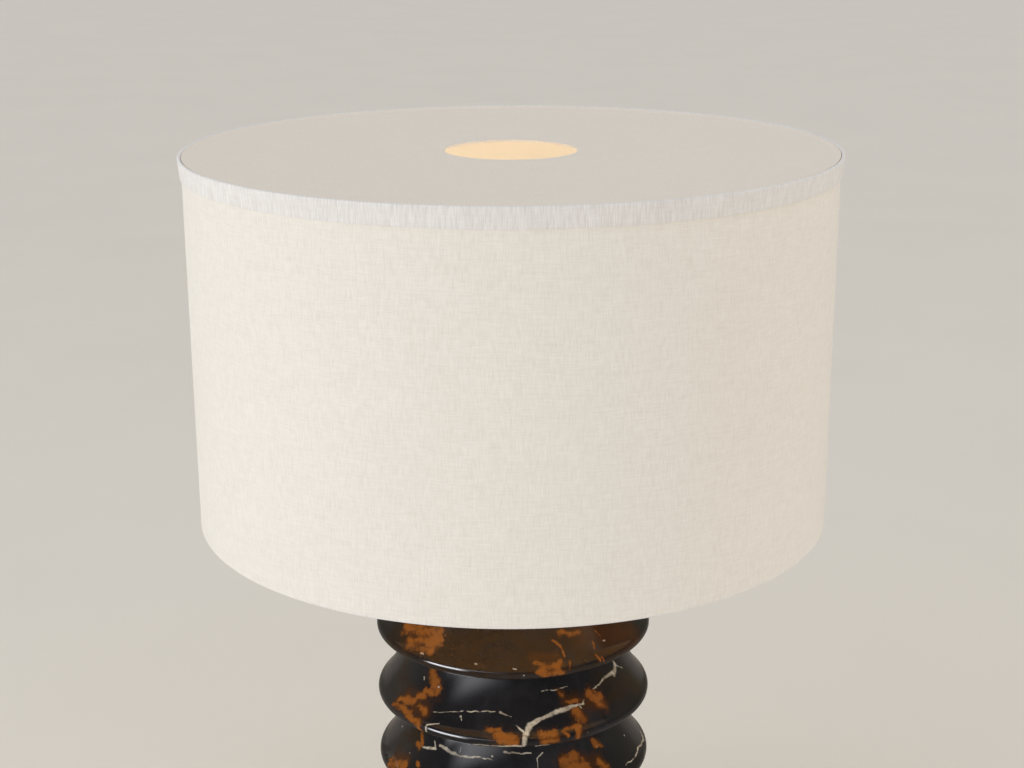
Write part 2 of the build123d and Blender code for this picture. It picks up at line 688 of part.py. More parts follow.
# Bulb: solder tip, insulating collar, screw cap, housing, light board and frosted globe
tip_radius = BULB_TIP_DIAMETER / 2
bulb_cap_radius = BULB_CAP_DIAMETER / 2
collar_radius = BULB_COLLAR_TOP / 2
with BuildPart() as bulb_contact:
    with BuildSketch(Plane.XY.offset(bulb_bottom)):
        Circle(tip_radius)
    extrude(amount=BULB_TIP_HEIGHT)
    fillet(bulb_contact.edges().sort_by(Axis.Z)[0], radius=BULB_TIP_HEIGHT / 2)
write(bulb_contact, "bulb_contact")

with BuildPart() as bulb_insulator:
    with BuildSketch(Plane.XY.offset(collar_bottom)):
        Circle(tip_radius)
    with BuildSketch(Plane.XY.offset(bulb_cap_bottom)):
        Circle(collar_radius)
    loft()
write(bulb_insulator, "bulb_insulator")

with BuildPart() as bulb_cap:
    with BuildSketch(Plane.XZ):
        with BuildLine():
            Polyline(
                (0, bulb_cap_bottom),
                (collar_radius, bulb_cap_bottom),
                (bulb_cap_radius, bulb_cap_bottom + BULB_CAP_TAPER),
                (bulb_cap_radius, bulb_cap_top),
                (0, bulb_cap_top),
                close=True,
            )
        make_face()
    revolve(axis=Axis.Z)
write(bulb_cap, "bulb_cap")

housing_inside = BULB_HOUSING_RIM - BULB_HOUSING_WALL
with BuildPart() as bulb_housing:
    with BuildSketch(Plane.XZ):
        with BuildLine():
            Line((0, bulb_cap_top), (bulb_cap_radius, bulb_cap_top))
            Spline(
                (bulb_cap_radius, bulb_cap_top),
                (BULB_HOUSING_RIM, housing_top),
                tangents=((0, 1), (0, 1)),
            )
            Polyline(
                (BULB_HOUSING_RIM, housing_top),
                (housing_inside, housing_top),
                (housing_inside, board_bottom),
                (housing_inside - BULB_LEDGE, board_bottom),
            )
            Spline(
                (bulb_cap_radius - BULB_HOUSING_WALL, bulb_cap_top + BULB_HOUSING_WALL),
                (housing_inside - BULB_LEDGE, board_bottom),
                tangents=((0, 1), (0, 1)),
            )
            Polyline(
                (bulb_cap_radius - BULB_HOUSING_WALL, bulb_cap_top + BULB_HOUSING_WALL),
                (0, bulb_cap_top + BULB_HOUSING_WALL),
                (0, bulb_cap_top),
            )
        make_face()
    revolve(axis=Axis.Z)
write(bulb_housing, "bulb_housing")

with BuildPart() as bulb_light_board:
    with BuildSketch(Plane.XY.offset(board_bottom)):
        Circle(housing_inside - SEAT_CLEARANCE)
    extrude(amount=BULB_BOARD_THICKNESS)
write(bulb_light_board, "bulb_light_board")

globe_radius = GLOBE_DIAMETER / 2
globe_center = housing_top + sqrt(globe_radius**2 - (GLOBE_MOUTH / 2) ** 2)
with BuildPart() as bulb_globe:
    with BuildSketch(Plane.XZ):
        with Locations((0, globe_center)):
            Circle(globe_radius)
            Circle(globe_radius - GLOBE_WALL, mode=Mode.SUBTRACT)
        with Locations((-globe_radius, globe_center)):
            Rectangle(GLOBE_DIAMETER, 2 * GLOBE_DIAMETER, mode=Mode.SUBTRACT)
        with Locations((0, housing_top)):
            Rectangle(2 * GLOBE_DIAMETER, GLOBE_DIAMETER, align=(Align.CENTER, Align.MAX), mode=Mode.SUBTRACT)
    revolve(axis=Axis.Z)
write(bulb_globe, "bulb_globe")

# Wire rings at the shade's two rims
for rim, wire_height in (
    ("top", top_wire_height),
    ("bottom", shade_bottom + HEM_THICKNESS + SHADE_WIRE / 2),
):
    with BuildPart() as rim_wire:
        with BuildSketch(Plane.XZ):
            with Locations((shade_wire_radius, wire_height)):
                Circle(SHADE_WIRE / 2)
        revolve(axis=Axis.Z)
    write(rim_wire, f"shade_{rim}_ring")

# Spider: a hub on the stud and three dropped arms to the top ring
with BuildPart() as spider_hub:
    with BuildSketch(Plane.XY.offset(hub_bottom)):
        Circle(SPIDER_HUB_DIAMETER / 2)
        Circle(stud_hole, mode=Mode.SUBTRACT)
    extrude(amount=SPIDER_HUB_THICKNESS)
write(spider_hub, "spider_hub")

with BuildPart() as spider_arms:
    for angle in SPIDER_ANGLES:
        with BuildLine(radial_plane(angle)) as arm_path:
            FilletPolyline(
                (0, hub_middle),
                (shade_wire_radius - SPIDER_BEND_INSET, hub_middle),
                (shade_wire_radius, top_wire_height),
                radius=SPIDER_BEND_RADIUS,
            )
        with BuildSketch(Plane(origin=arm_path.line @ 0, z_dir=arm_path.line % 0)):
            Circle(SPIDER_WIRE / 2)
        sweep()
    with BuildSketch(Plane.XY.offset(hub_bottom - SPIDER_HUB_THICKNESS)):
        Circle(SPIDER_HUB_DIAMETER / 2)
    extrude(amount=3 * SPIDER_HUB_THICKNESS, mode=Mode.SUBTRACT)
    with BuildSketch(Plane.XZ):
        with Locations((shade_wire_radius, top_wire_height)):
            Circle(SHADE_WIRE / 2)
    revolve(axis=Axis.Z, mode=Mode.SUBTRACT)
write(spider_arms, "spider_arms")

# Drum wall: styrene liner with the linen laminated on its outside
wall_height = panel_bottom - shade_bottom - HEM_THICKNESS
for name, outside, thickness in (
    ("shade_liner", linen_inside, LINER_THICKNESS),
    ("shade_linen", SHADE_DIAMETER / 2, LINEN_THICKNESS),
):
    with BuildPart() as drum_layer:
        with BuildSketch(Plane.XY.offset(shade_bottom + HEM_THICKNESS)):
            Circle(outside)
            Circle(outside - thickness, mode=Mode.SUBTRACT)
        extrude(amount=wall_height)
    write(drum_layer, name)

# Folded linen band round the top rim, standing a little proud and above the diffuser
band_inside = SHADE_DIAMETER / 2
band_foot = shade_top - BAND_HEIGHT
with BuildPart() as shade_top_band:
    with BuildSketch(Plane.XZ):
        with BuildLine():
            Polyline(
                (band_inside, shade_top - BAND_THICKNESS / 2),
                (band_inside, band_foot),
                (band_inside + BAND_THICKNESS, band_foot),
                (band_inside + BAND_THICKNESS + BAND_FLARE, shade_top - BAND_THICKNESS / 2),
            )
            ThreePointArc(
                (band_inside + BAND_THICKNESS + BAND_FLARE, shade_top - BAND_THICKNESS / 2),
                (band_inside + (BAND_THICKNESS + BAND_FLARE) / 2, shade_top),
                (band_inside, shade_top - BAND_THICKNESS / 2),
            )
        make_face()
    revolve(axis=Axis.Z)
write(shade_top_band, "shade_top_band")

# Hem: the linen turned in under the bottom ring and up its inside
hem_inside = liner_inside - SHADE_WIRE - HEM_THICKNESS
hem_shoulder = shade_bottom + HEM_THICKNESS + SHADE_WIRE
with BuildPart() as shade_bottom_hem:
    with BuildSketch(Plane.XZ):
        with BuildLine():
            Polyline(
                (SHADE_DIAMETER / 2, shade_bottom + HEM_THICKNESS),
                (SHADE_DIAMETER / 2, shade_bottom),
                (hem_inside, shade_bottom),
                (hem_inside, hem_shoulder),
                (liner_inside - HEM_THICKNESS, shade_bottom + HEM_RISE),
                (liner_inside, shade_bottom + HEM_RISE),
                (hem_inside + HEM_THICKNESS, hem_shoulder),
                (hem_inside + HEM_THICKNESS, shade_bottom + HEM_THICKNESS),
                close=True,
            )
        make_face()
    revolve(axis=Axis.Z)
write(shade_bottom_hem, "shade_bottom_hem")

# Diffuser: a styrene disc on the top ring, faced with linen, open in the middle
for name, bottom, thickness in (
    ("diffuser_panel", panel_bottom, PANEL_THICKNESS),
    ("diffuser_linen", panel_top, PANEL_LINEN),
):
    with BuildPart() as diffuser_layer:
        with BuildSketch(Plane.XY.offset(bottom)):
            Circle(SHADE_DIAMETER / 2 - PANEL_GAP)
            Circle(PANEL_HOLE / 2, mode=Mode.SUBTRACT)
        extrude(amount=thickness)
    write(diffuser_layer, name)
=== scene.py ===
import math

import bmesh
import bpy
from mathutils import Matrix, Vector, noise


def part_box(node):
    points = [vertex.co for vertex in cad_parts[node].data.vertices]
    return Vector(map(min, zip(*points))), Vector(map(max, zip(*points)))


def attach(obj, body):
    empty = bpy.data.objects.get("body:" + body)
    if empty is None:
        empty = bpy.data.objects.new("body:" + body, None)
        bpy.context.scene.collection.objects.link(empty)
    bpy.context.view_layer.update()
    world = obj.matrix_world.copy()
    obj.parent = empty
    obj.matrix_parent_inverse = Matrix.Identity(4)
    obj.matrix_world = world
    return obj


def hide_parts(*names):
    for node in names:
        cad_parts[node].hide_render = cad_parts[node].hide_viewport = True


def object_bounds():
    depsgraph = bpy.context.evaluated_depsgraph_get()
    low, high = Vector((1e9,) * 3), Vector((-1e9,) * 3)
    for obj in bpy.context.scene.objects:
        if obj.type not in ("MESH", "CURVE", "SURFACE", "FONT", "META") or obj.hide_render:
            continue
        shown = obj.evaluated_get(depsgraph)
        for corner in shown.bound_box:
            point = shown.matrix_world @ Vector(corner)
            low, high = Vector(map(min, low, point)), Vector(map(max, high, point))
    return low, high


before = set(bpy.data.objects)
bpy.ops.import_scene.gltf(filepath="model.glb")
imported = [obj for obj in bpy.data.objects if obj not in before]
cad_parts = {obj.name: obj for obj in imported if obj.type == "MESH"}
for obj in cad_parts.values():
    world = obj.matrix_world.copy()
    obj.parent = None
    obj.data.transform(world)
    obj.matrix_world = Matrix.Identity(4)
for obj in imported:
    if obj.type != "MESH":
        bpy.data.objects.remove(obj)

bl_info = {
    "name": "Marble Table Lamp Finishes",
    "version": (1, 0, 0),
    "blender": (4, 5, 0),
    "location": "3D View > Sidebar > Lamp",
    "description": "Dresses the lamp's CAD frame with its stone, linen, metal and light",
    "category": "Object",
}

CAD_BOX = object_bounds()
MM = 0.001
UPRIGHT = (0, 0, 1)
TOWARDS_FRONT = (0, -1, 0)
CLEARANCE = 0.3 * MM
BUSH_FLANGE = 2 * MM
BAND_SOFTNESS = 0.25 * MM
BAND_WAVE = 0.12 * MM
HEM_SOFTNESS = 0.3 * MM
DISC_SWELL = 0.2 * MM
FELT_FRAY = 0.0012
CAP_SHEET = 0.35 * MM


def tone(red, green, blue):
    """A screen colour from 0 to 255 as the linear colour that a shader takes."""
    def linear(value):
        share = value / 255
        return share / 12.92 if share <= 0.04045 else ((share + 0.055) / 1.055) ** 2.4
    return (linear(red), linear(green), linear(blue))


def dimmed(colour, share):
    """A colour at a share of its strength."""
    return [part * share for part in colour]


def colour_property(name, description, default):
    """A linear colour that the sidebar shows as a swatch."""
    return bpy.props.FloatVectorProperty(
        name=name, description=description, default=default, subtype="COLOR", min=0, max=1
    )


def length_property(name, description, default):
    """A length in metres."""
    return bpy.props.FloatProperty(
        name=name, description=description, default=default, subtype="DISTANCE", unit="LENGTH", min=0,
        precision=5,
    )


def angle_property(name, description, degrees):
    """An angle that is given in degrees."""
    return bpy.props.FloatProperty(
        name=name, description=description, default=math.radians(degrees), subtype="ANGLE"
    )


def place_property(name, description, default):
    """A place in metres."""
    return bpy.props.FloatVectorProperty(
        name=name, description=description, default=default, subtype="TRANSLATION", unit="LENGTH"
    )


def count_property(name, description, default, most):
    """A whole number from one to its most."""
    return bpy.props.IntProperty(name=name, description=description, default=default, min=1, max=most)


def share_property(name, description, default, most=1.0):
    """A plain number from nothing to its most."""
    return bpy.props.FloatProperty(name=name, description=description, default=default, min=0, max=most)


class LampStone(bpy.types.PropertyGroup):
    """The turned marble column."""

    ring_count: count_property("Rings", "Rings turned into the column", 7, 20)
    ring_pitch: length_property("Ring pitch", "From one ring's widest line to the next", 53 * MM)
    foot_rise: length_property("Foot rise", "Height of the foot under the lowest ring", 5.3 * MM)
    edge_below: length_property("Edge below", "Radius of a ring's lip under its widest line", 4.2 * MM)
    edge_above: length_property("Edge above", "Radius of a ring's lip over its widest line", 5 * MM)
    lip_tilt: angle_property("Lip tilt", "How far the rounded lip looks up where it flares out", 50)
    lip_flare: length_property("Lip flare", "Radius of the hollow between the lip and the face", 20 * MM)
    face_tilt: angle_property("Face tilt", "How far a ring's face looks up where it leaves the flare", 36)
    groove_depth: length_property("Groove depth", "From a ring's widest line to the groove", 28 * MM)
    groove_flat: length_property("Groove flat", "Height of the flat between two rings", 2 * MM)
    core_radius: length_property("Core radius", "Radius of the hole through the column", 57 * MM)
    cord_hole_radius: length_property("Cord hole radius", "Radius of the hole for the cord's bush", 4.85 * MM)
    turn_steps: count_property("Turn steps", "Steps in a full turn of the column", 192, 400)
    arc_steps: count_property("Arc steps", "Steps round one edge of a ring", 10, 48)
    ground: colour_property("Ground", "The stone's own near-black", tone(30, 29, 31))
    cloud: colour_property("Cloud", "Paler grey that drifts through the ground", tone(54, 53, 56))
    # Olive-brown of the stained stone; on the second ring's front it is also painted reflection of the
    # lamp-lit shade inside
    stain_and_reflection: colour_property("Stain", "Olive-brown areas around the rust", tone(50, 34, 16))
    rust: colour_property("Rust", "Bright middle of a rust patch", tone(148, 86, 26))
    rust_dark: colour_property("Dark rust", "Edges and pits of a rust patch", tone(76, 44, 16))
    vein: colour_property("Vein", "Calcite veins and specks", tone(214, 204, 186))
    vein_dull: colour_property("Dull vein", "Thin and stained places of a vein", tone(160, 146, 124))
    polish: share_property("Polish", "Roughness of the polished face", 0.11)
    index: share_property("Index", "Refraction of the polished face", 1.54, 3.0)


class LampCloth(bpy.types.PropertyGroup):
    """The linen of the shade and the felt of the foot."""

    drum_steps: count_property("Drum steps", "Steps in a full turn of the drum, band and hem", 288, 400)
    disc_steps: count_property("Disc steps", "Steps in a full turn of the diffuser's disc", 216, 400)
    felt_steps: count_property("Felt steps", "Steps in a full turn of the foot's felt", 96, 400)
    threads: share_property("Threads", "Linen threads in one metre of the drum", 2000.0, 4000.0)
    trim_density: share_property("Trim density", "Threads of the trim for each of the drum's", 0.8, 2.0)
    disc_density: share_property("Disc density", "Threads of the disc for each of the drum's", 1.1, 2.0)
    seam_width: length_property("Seam width", "Overlap of the drum's linen at the back", 14 * MM)
    seam_rise: length_property("Seam rise", "How far the overlap stands up", 0.4 * MM)
    unevenness: length_property("Unevenness", "How far the stretched linen leaves a true drum", 0.15 * MM)
    band_thickness: length_property("Band thickness", "Thickness of the band at its lower edge", 1.2 * MM)
    hole_radius: length_property("Hole radius", "Radius of the hole in the diffuser", 47 * MM)
    hole_round: length_property("Hole round", "Radius of the linen where it turns into the hole", 0.6 * MM)
    rim_rise: length_property("Rim rise", "How far the disc's linen climbs the band at its rim", 1.5 * MM)
    hole_turn: length_property("Hole turn", "Thickness of the linen turned down into the hole", 0.35 * MM)
    drum_yarn: colour_property("Drum yarn", "The drum's linen", tone(239, 237, 233))
    drum_shade: colour_property("Drum thread shade", "Thin and shaded yarns of the drum", tone(223, 220, 214))
    trim_yarn: colour_property("Trim yarn", "The folded band and hem", tone(249, 247, 245))
    trim_shade: colour_property("Trim thread shade", "Shaded yarns of the band", tone(226, 222, 218))
    disc_yarn: colour_property("Disc yarn", "The diffuser's linen", tone(245, 236, 224))
    disc_shade: colour_property("Disc thread shade", "Shaded yarns of the diffuser", tone(236, 227, 214))
    glow: colour_property("Glow", "Lamp light that comes through the linen", (1.0, 0.76, 0.46))
    drum_glow: share_property("Drum glow", "Strength of the light through the drum", 0.09)
    disc_glow: share_property("Disc glow", "Strength of the light through the diffuser", 0.0135)
    felt: colour_property("Felt", "The foot's felt", tone(46, 45, 46))


class LampFittings(bpy.types.PropertyGroup):
    """Metal, plastic and the bulb."""

    brass: colour_property("Brass", "Satin brass of the turned pieces", tone(206, 166, 98))
    brass_tarnish: colour_property("Brass tarnish", "Browned brass in sheltered places", tone(158, 116, 62))
    plating: colour_property("Brass plate", "Brass plating on the bent wire pieces", tone(214, 178, 116))
    steel: colour_property("Zinc steel", "Zinc-plated steel", tone(196, 198, 201))
    aluminium: colour_property("Aluminium", "Screw shell and bulb cap", tone(222, 222, 224))
    bakelite: colour_property("Moulding", "Black switch moulding", tone(33, 31, 30))
    fibre: colour_property("Fibre", "Pressed fibre sleeve", tone(112, 98, 84))
    rubber: colour_property("Rubber", "Cord bush", tone(36, 36, 37))
    enamel: colour_property("Enamel", "White enamel on the shade's rings", tone(238, 236, 231))
    styrene: colour_property("Styrene", "White liner of the shade", tone(243, 240, 233))
    bulb_white: colour_property("Bulb housing", "White bulb housing", tone(240, 239, 236))
    bulb_light: colour_property("Bulb light", "Colour of the lit globe", (1.0, 0.78, 0.52))
    # Painted reflection: the warm tint that the liner shows only to glossy rays, so the polished stone
    # mirrors a lamp-lit inside
    painted_liner_reflection: colour_property("Warm inside", "How the stone mirrors the lit liner", (0.85, 0.5, 0.2))
    bulb_strength: share_property("Bulb strength", "Brightness of the lit globe", 15.0, 100.0)
    thread_pitch: length_property("Bulb thread pitch", "Rise of the bulb's screw in one turn", 3.6 * MM)
    thread_depth: length_property("Bulb thread depth", "Depth of the bulb's rolled screw", 0.7 * MM)
    cap_plain: length_property("Cap ends", "Plain height at each end of the bulb's screw cap", 2 * MM)
    cap_wall: length_property("Cap wall", "Thickness inside the bulb's screw cap", 1.5 * MM)
    liner_low: colour_property("Lit liner, low", "Light on the liner at its foot", (1.0, 0.78, 0.52))
    liner_high: colour_property("Lit liner, high", "Light on the liner at its top", (1.0, 0.82, 0.58))
    liner_glow: share_property("Liner glow", "Strength of the light in the liner", 0.12)


class LampStage(bpy.types.PropertyGroup):
    """Floor, light and camera."""

    floor: colour_property("Floor", "Pale floor", tone(236, 230, 219))
    floor_radius: length_property("Floor radius", "Size of the floor", 40.0)
    sky: colour_property("Sky", "Even light all round", (0.98, 0.985, 1.0))
    sky_strength: share_property("Sky strength", "Strength of the even light", 0.735, 5.0)
    room: colour_property("Room", "The dim room that the polished pieces mirror", (0.05, 0.05, 0.055))
    walls: colour_property("Walls", "Paler walls that they mirror at the sides and back", (0.15, 0.135, 0.1))
    table: colour_property("Table", "The table that they mirror from below", (0.24, 0.21, 0.18))
    pane: colour_property("Pane", "Soft pane that they mirror at the front left", (0.94, 0.95, 1.0))
    pane_strength: share_property("Pane strength", "Brightness of the mirrored pane", 2.6, 20.0)
    sill_strength: share_property("Sill strength", "Brightness of the window under the pane", 12.0, 20.0)
    window_place: place_property("Window place", "Where the left soft light stands", (-1.63, -1.1, 0.58))
    window_power: share_property("Window power", "Watts of the soft light at the left", 8.5, 500.0)
    window_colour: colour_property("Window colour", "Colour of the soft light at the left", (0.98, 0.99, 1.0))
    fill_place: place_property("Fill place", "Where the right soft light stands", (1.9, -0.7, 0.7))
    fill_power: share_property("Fill power", "Watts of the soft light at the right", 4.0, 500.0)
    fill_colour: colour_property("Fill colour", "Colour of the soft light at the right", (1.0, 0.8, 0.56))
    camera_place: place_property("Camera place", "Where the camera stands", (0, -1.2188, 0.8159))
    camera_dip: angle_property("Camera dip", "How far the camera looks down", math.degrees(0.2839))
    camera_roll: angle_property("Camera roll", "Tilt of the picture", math.degrees(-0.0043))
    camera_lens: bpy.props.FloatProperty(
        name="Lens", description="Focal length", default=61.15, subtype="DISTANCE_CAMERA"
    )


class Nodes:
    """Adds nodes to one tree. A socket given as an input is joined, and a number or colour is set."""

    def __init__(self, tree):
        self.tree = tree

    def feed(self, socket, value):
        if isinstance(value, bpy.types.NodeSocket):
            self.tree.links.new(value, socket)
        elif socket.type == "RGBA":
            socket.default_value = (*value[:3], 1.0)
        else:
            socket.default_value = value

    def add(self, kind, inputs=(), **settings):
        node = self.tree.nodes.new(kind)
        for name, value in settings.items():
            setattr(node, name, value)
        for name, value in dict(inputs).items():
            self.feed(node.inputs[name], value)
        return node

    def place(self, kind="Object"):
        return self.add("ShaderNodeTexCoord").outputs[kind]

    def maths(self, operation, first, second=0.0, third=0.0):
        values = {0: first, 1: second, 2: third}
        return self.add("ShaderNodeMath", values, operation=operation).outputs[0]

    def times(self, first, second):
        return self.maths("MULTIPLY", first, second)

    def plus(self, first, second):
        return self.maths("ADD", first, second)

    def minus(self, first, second):
        return self.maths("SUBTRACT", first, second)

    def most(self, first, second):
        return self.maths("MAXIMUM", first, second)

    def vector(self, operation, first, second=(0, 0, 0)):
        return self.add("ShaderNodeVectorMath", {0: first, 1: second}, operation=operation).outputs[0]

    def measure(self, operation, first, second=(0, 0, 0)):
        return self.add("ShaderNodeVectorMath", {0: first, 1: second}, operation=operation).outputs["Value"]

    def scaled(self, vector, factor):
        return self.add("ShaderNodeVectorMath", {0: vector, "Scale": factor}, operation="SCALE").outputs[0]

    def split(self, vector):
        return self.add("ShaderNodeSeparateXYZ", {0: vector}).outputs

    def join(self, x=0.0, y=0.0, z=0.0):
        return self.add("ShaderNodeCombineXYZ", {0: x, 1: y, 2: z}).outputs[0]

    def noise(self, place, scale, detail=2.0, roughness=0.5, distortion=0.0, colour=False):
        values = {
            "Vector": place, "Scale": scale, "Detail": detail, "Roughness": roughness,
            "Distortion": distortion,
        }
        return self.add("ShaderNodeTexNoise", values).outputs[1 if colour else 0]

    def wander(self, place, scale, reach, detail=2.0):
        """The place moved about by up to half of reach each way."""
        drift = self.vector("SUBTRACT", self.noise(place, scale, detail, colour=True), (0.5, 0.5, 0.5))
        return self.vector("ADD", place, self.scaled(drift, reach))

    def step(self, value, low, high):
        """A soft step from 0 at low to 1 at high, which may be the smaller."""
        values = {"Value": value, "From Min": low, "From Max": high}
        return self.add("ShaderNodeMapRange", values, interpolation_type="SMOOTHSTEP").outputs[0]

    def span(self, value, low, high):
        """A share from 0 to 1 spread between two values."""
        return self.add("ShaderNodeMapRange", {"Value": value, "To Min": low, "To Max": high}).outputs[0]

    def mix(self, share, first, second, blend="MIX"):
        node = self.add("ShaderNodeMix", {0: share, 6: first, 7: second}, data_type="RGBA", blend_type=blend)
        return node.outputs[2]

    def group(self, tree, **inputs):
        node = self.add("ShaderNodeGroup", node_tree=tree)
        for name, value in inputs.items():
            self.feed(node.inputs[name.replace("_", " ").title()], value)
        return node.outputs

    def bump(self, height, strength, distance, normal=None):
        node = self.add("ShaderNodeBump", {"Height": height, "Strength": strength, "Distance": distance})
        if normal is not None:
            self.feed(node.inputs["Normal"], normal)
        return node.outputs[0]


def shader_group(name, vectors, numbers, outputs):
    """Turns a function that fills a shader group into one that gives it, filled on its first use."""
    def filled_by(fill):
        def group():
            if name in bpy.data.node_groups:
                return bpy.data.node_groups[name]
            tree = bpy.data.node_groups.new(name, "ShaderNodeTree")
            for label in vectors:
                tree.interface.new_socket(label, in_out="INPUT", socket_type="NodeSocketVector")
            for label in numbers:
                tree.interface.new_socket(label, in_out="INPUT", socket_type="NodeSocketFloat")
            for label in outputs:
                tree.interface.new_socket(label, in_out="OUTPUT", socket_type="NodeSocketFloat")
            n = Nodes(tree)
            fill(n, n.add("NodeGroupInput").outputs, n.add("NodeGroupOutput").inputs)
            return tree
        return group
    return filled_by


@shader_group("Linen weave", ["Place"], ["Threads", "Slub", "Warp"], ["Height", "Tone"])
def weave_group(n, entry, result):
    """Plain-woven linen: crossing threads with slubs and darker yarns. The place is in metres."""
    counted = n.wander(n.scaled(entry["Place"], entry["Threads"]), 0.06, 1.4)
    x, y = n.split(counted)[0:2]
    warp = n.maths("ABSOLUTE", n.maths("SINE", n.times(x, math.pi)))
    weft = n.maths("ABSOLUTE", n.maths("SINE", n.times(y, math.pi)))
    warp_count = n.maths("FLOOR", x)
    weft_count = n.maths("FLOOR", y)
    over = n.maths("FLOORED_MODULO", n.plus(warp_count, weft_count), 2.0)
    crossing = n.plus(n.times(over, warp), n.times(n.minus(1.0, over), weft))
    warp_yarn = n.noise(n.join(n.times(warp_count, 1.73), n.times(y, 0.055)), 1.0, 1.0)
    weft_yarn = n.noise(n.join(n.times(x, 0.055), n.times(weft_count, 1.73), 7.5), 1.0, 1.0)
    slub = n.most(n.step(warp_yarn, 0.6, 0.8), n.times(n.step(weft_yarn, 0.62, 0.82), 0.8))
    n.feed(result["Height"], n.plus(crossing, n.times(slub, entry["Slub"])))
    weft_share = n.minus(1.0, entry["Warp"])
    yarns = n.maths("MULTIPLY_ADD", warp_yarn, entry["Warp"], n.times(weft_yarn, weft_share))
    shaded = n.times(crossing, 0.25)
    n.feed(result["Tone"], n.step(n.plus(yarns, shaded), 0.38, 0.88))


@shader_group("Handling", ["Place"], ["Grain", "Low", "High"], ["Polish", "Smudge", "Scratch"])
def handling_group(n, entry, result):
    """Smudges and fine scratches that change how a hard surface shines. Polish comes out as a roughness."""
    close = n.scaled(entry["Place"], entry["Grain"])
    smudge = n.step(n.noise(close, 0.25, 5.0, 0.6, 0.4), 0.35, 0.7)
    lines = n.vector("MULTIPLY", n.wander(close, 0.5, 0.8), (1.0, 1.0, 14.0))
    scratch = n.step(n.noise(lines, 2.2, 3.0, 0.6), 0.62, 0.74)
    mixed = n.plus(n.times(smudge, 0.7), n.times(scratch, 0.3))
    spread = n.minus(entry["High"], entry["Low"])
    n.feed(result["Polish"], n.plus(n.times(mixed, spread), entry["Low"]))
    n.feed(result["Smudge"], smudge)
    n.feed(result["Scratch"], scratch)


@shader_group("Turning marks", ["Place"], ["Grain"], ["Height"])
def turning_group(n, entry, result):
    """Fine rings that a lathe or spinning tool leaves round the lamp's axis."""
    x, y, z = n.split(entry["Place"])
    radius = n.maths("SQRT", n.plus(n.times(x, x), n.times(y, y)))
    across = n.scaled(n.join(radius, n.times(x, 0.02), z), entry["Grain"])
    n.feed(result["Height"], n.noise(across, 1.0, 3.0, 0.65))


@shader_group("Moulded skin", ["Place"], ["Grain"], ["Height", "Mottle"])
def moulding_group(n, entry, result):
    """The fine even texture of a moulded, sprayed or pressed surface."""
    close = n.scaled(entry["Place"], entry["Grain"])
    n.feed(result["Height"], n.noise(close, 1.0, 4.0, 0.55))
    n.feed(result["Mottle"], n.step(n.noise(close, 0.08, 4.0, 0.6), 0.3, 0.7))


@shader_group("Stone mark", ["Place", "Start", "End"], ["Half", "End Half"], ["Depth"])
def stroke_group(n, entry, result):
    """A tapered mark on the unrolled stone: 1 on its middle line, 0 at its edge, less further out."""
    reach = n.vector("SUBTRACT", entry["End"], entry["Start"])
    offset = n.vector("SUBTRACT", entry["Place"], entry["Start"])
    squared = n.measure("DOT_PRODUCT", reach, reach)
    along = n.maths("DIVIDE", n.measure("DOT_PRODUCT", offset, reach), squared)
    held = n.maths("MINIMUM", n.most(along, 0.0), 1.0)
    away = n.measure("DISTANCE", offset, n.scaled(reach, held))
    tapered = n.maths("MULTIPLY_ADD", held, n.minus(entry["End Half"], entry["Half"]), entry["Half"])
    n.feed(result["Depth"], n.minus(1.0, n.maths("DIVIDE", away, tapered)))


def new_finish(name):
    """A new material with its tree helper and its Principled shader."""
    material = bpy.data.materials.new(name)
    material.use_nodes = True
    nodes = Nodes(material.node_tree)
    shader = material.node_tree.nodes["Principled BSDF"]
    return material, nodes, shader


def set_shader(nodes, shader, **inputs):
    """Sets or joins the shader's sockets by their names in lower case."""
    for name, value in inputs.items():
        nodes.feed(shader.inputs[name.replace("_", " ").title().replace("Ior", "IOR")], value)


def dress(material, *names):
    """Gives a finish to CAD nodes that stay in view."""
    for name in names:
        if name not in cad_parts:
            raise RuntimeError(f"The frame has no piece named {name}")
        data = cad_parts[name].data
        data.materials.clear()
        data.materials.append(material)


def line_to(bm, vert, x, z):
    """Draws a straight profile edge from a vertex and returns its far end."""
    end = bmesh.ops.extrude_vert_indiv(bm, verts=[vert])["verts"][0]
    end.co = (x, 0, z)
    return end


def arc_about(bm, vert, x, z, angle, steps):
    """Draws a profile arc round a centre, anticlockwise with x to the right, and returns its far end."""
    swept = bmesh.ops.spin(bm, geom=[vert], cent=(x, 0, z), axis=TOWARDS_FRONT, angle=angle, steps=steps)
    return swept["geom_last"][0]


def outline(bm, points):
    """A closed profile through a few points, x outwards and z up."""
    first = bm.verts.new((points[0][0], 0, points[0][1]))
    last = first
    for x, z in points[1:]:
        last = line_to(bm, last, x, z)
    bm.edges.new((last, first))


def turn(bm, steps):
    """Spins the whole profile once round the lamp's axis."""
    bmesh.ops.spin(
        bm, geom=bm.verts[:] + bm.edges[:], cent=(0, 0, 0), axis=UPRIGHT, angle=math.tau, steps=steps,
        use_merge=True,
    )
    close_up(bm)


def close_up(bm):
    """Merges meeting vertices and turns the faces outwards."""
    bmesh.ops.remove_doubles(bm, verts=bm.verts[:], dist=0.002 * MM)
    bmesh.ops.recalc_face_normals(bm, faces=bm.faces[:])


def soften(bm, offset, segments, least=math.radians(40)):
    """Rounds every edge where two faces turn by more than the least angle."""
    sharp = [e for e in bm.edges if len(e.link_faces) == 2 and e.calc_face_angle() > least]
    bmesh.ops.bevel(
        bm, geom=sharp, offset=offset, offset_type="OFFSET", segments=segments, profile=0.5,
        affect="EDGES", material=-1,
    )


def bearing(point):
    """Angle round the lamp from the front, to the right positive, with its break at the back."""
    return math.atan2(point.x, -point.y)


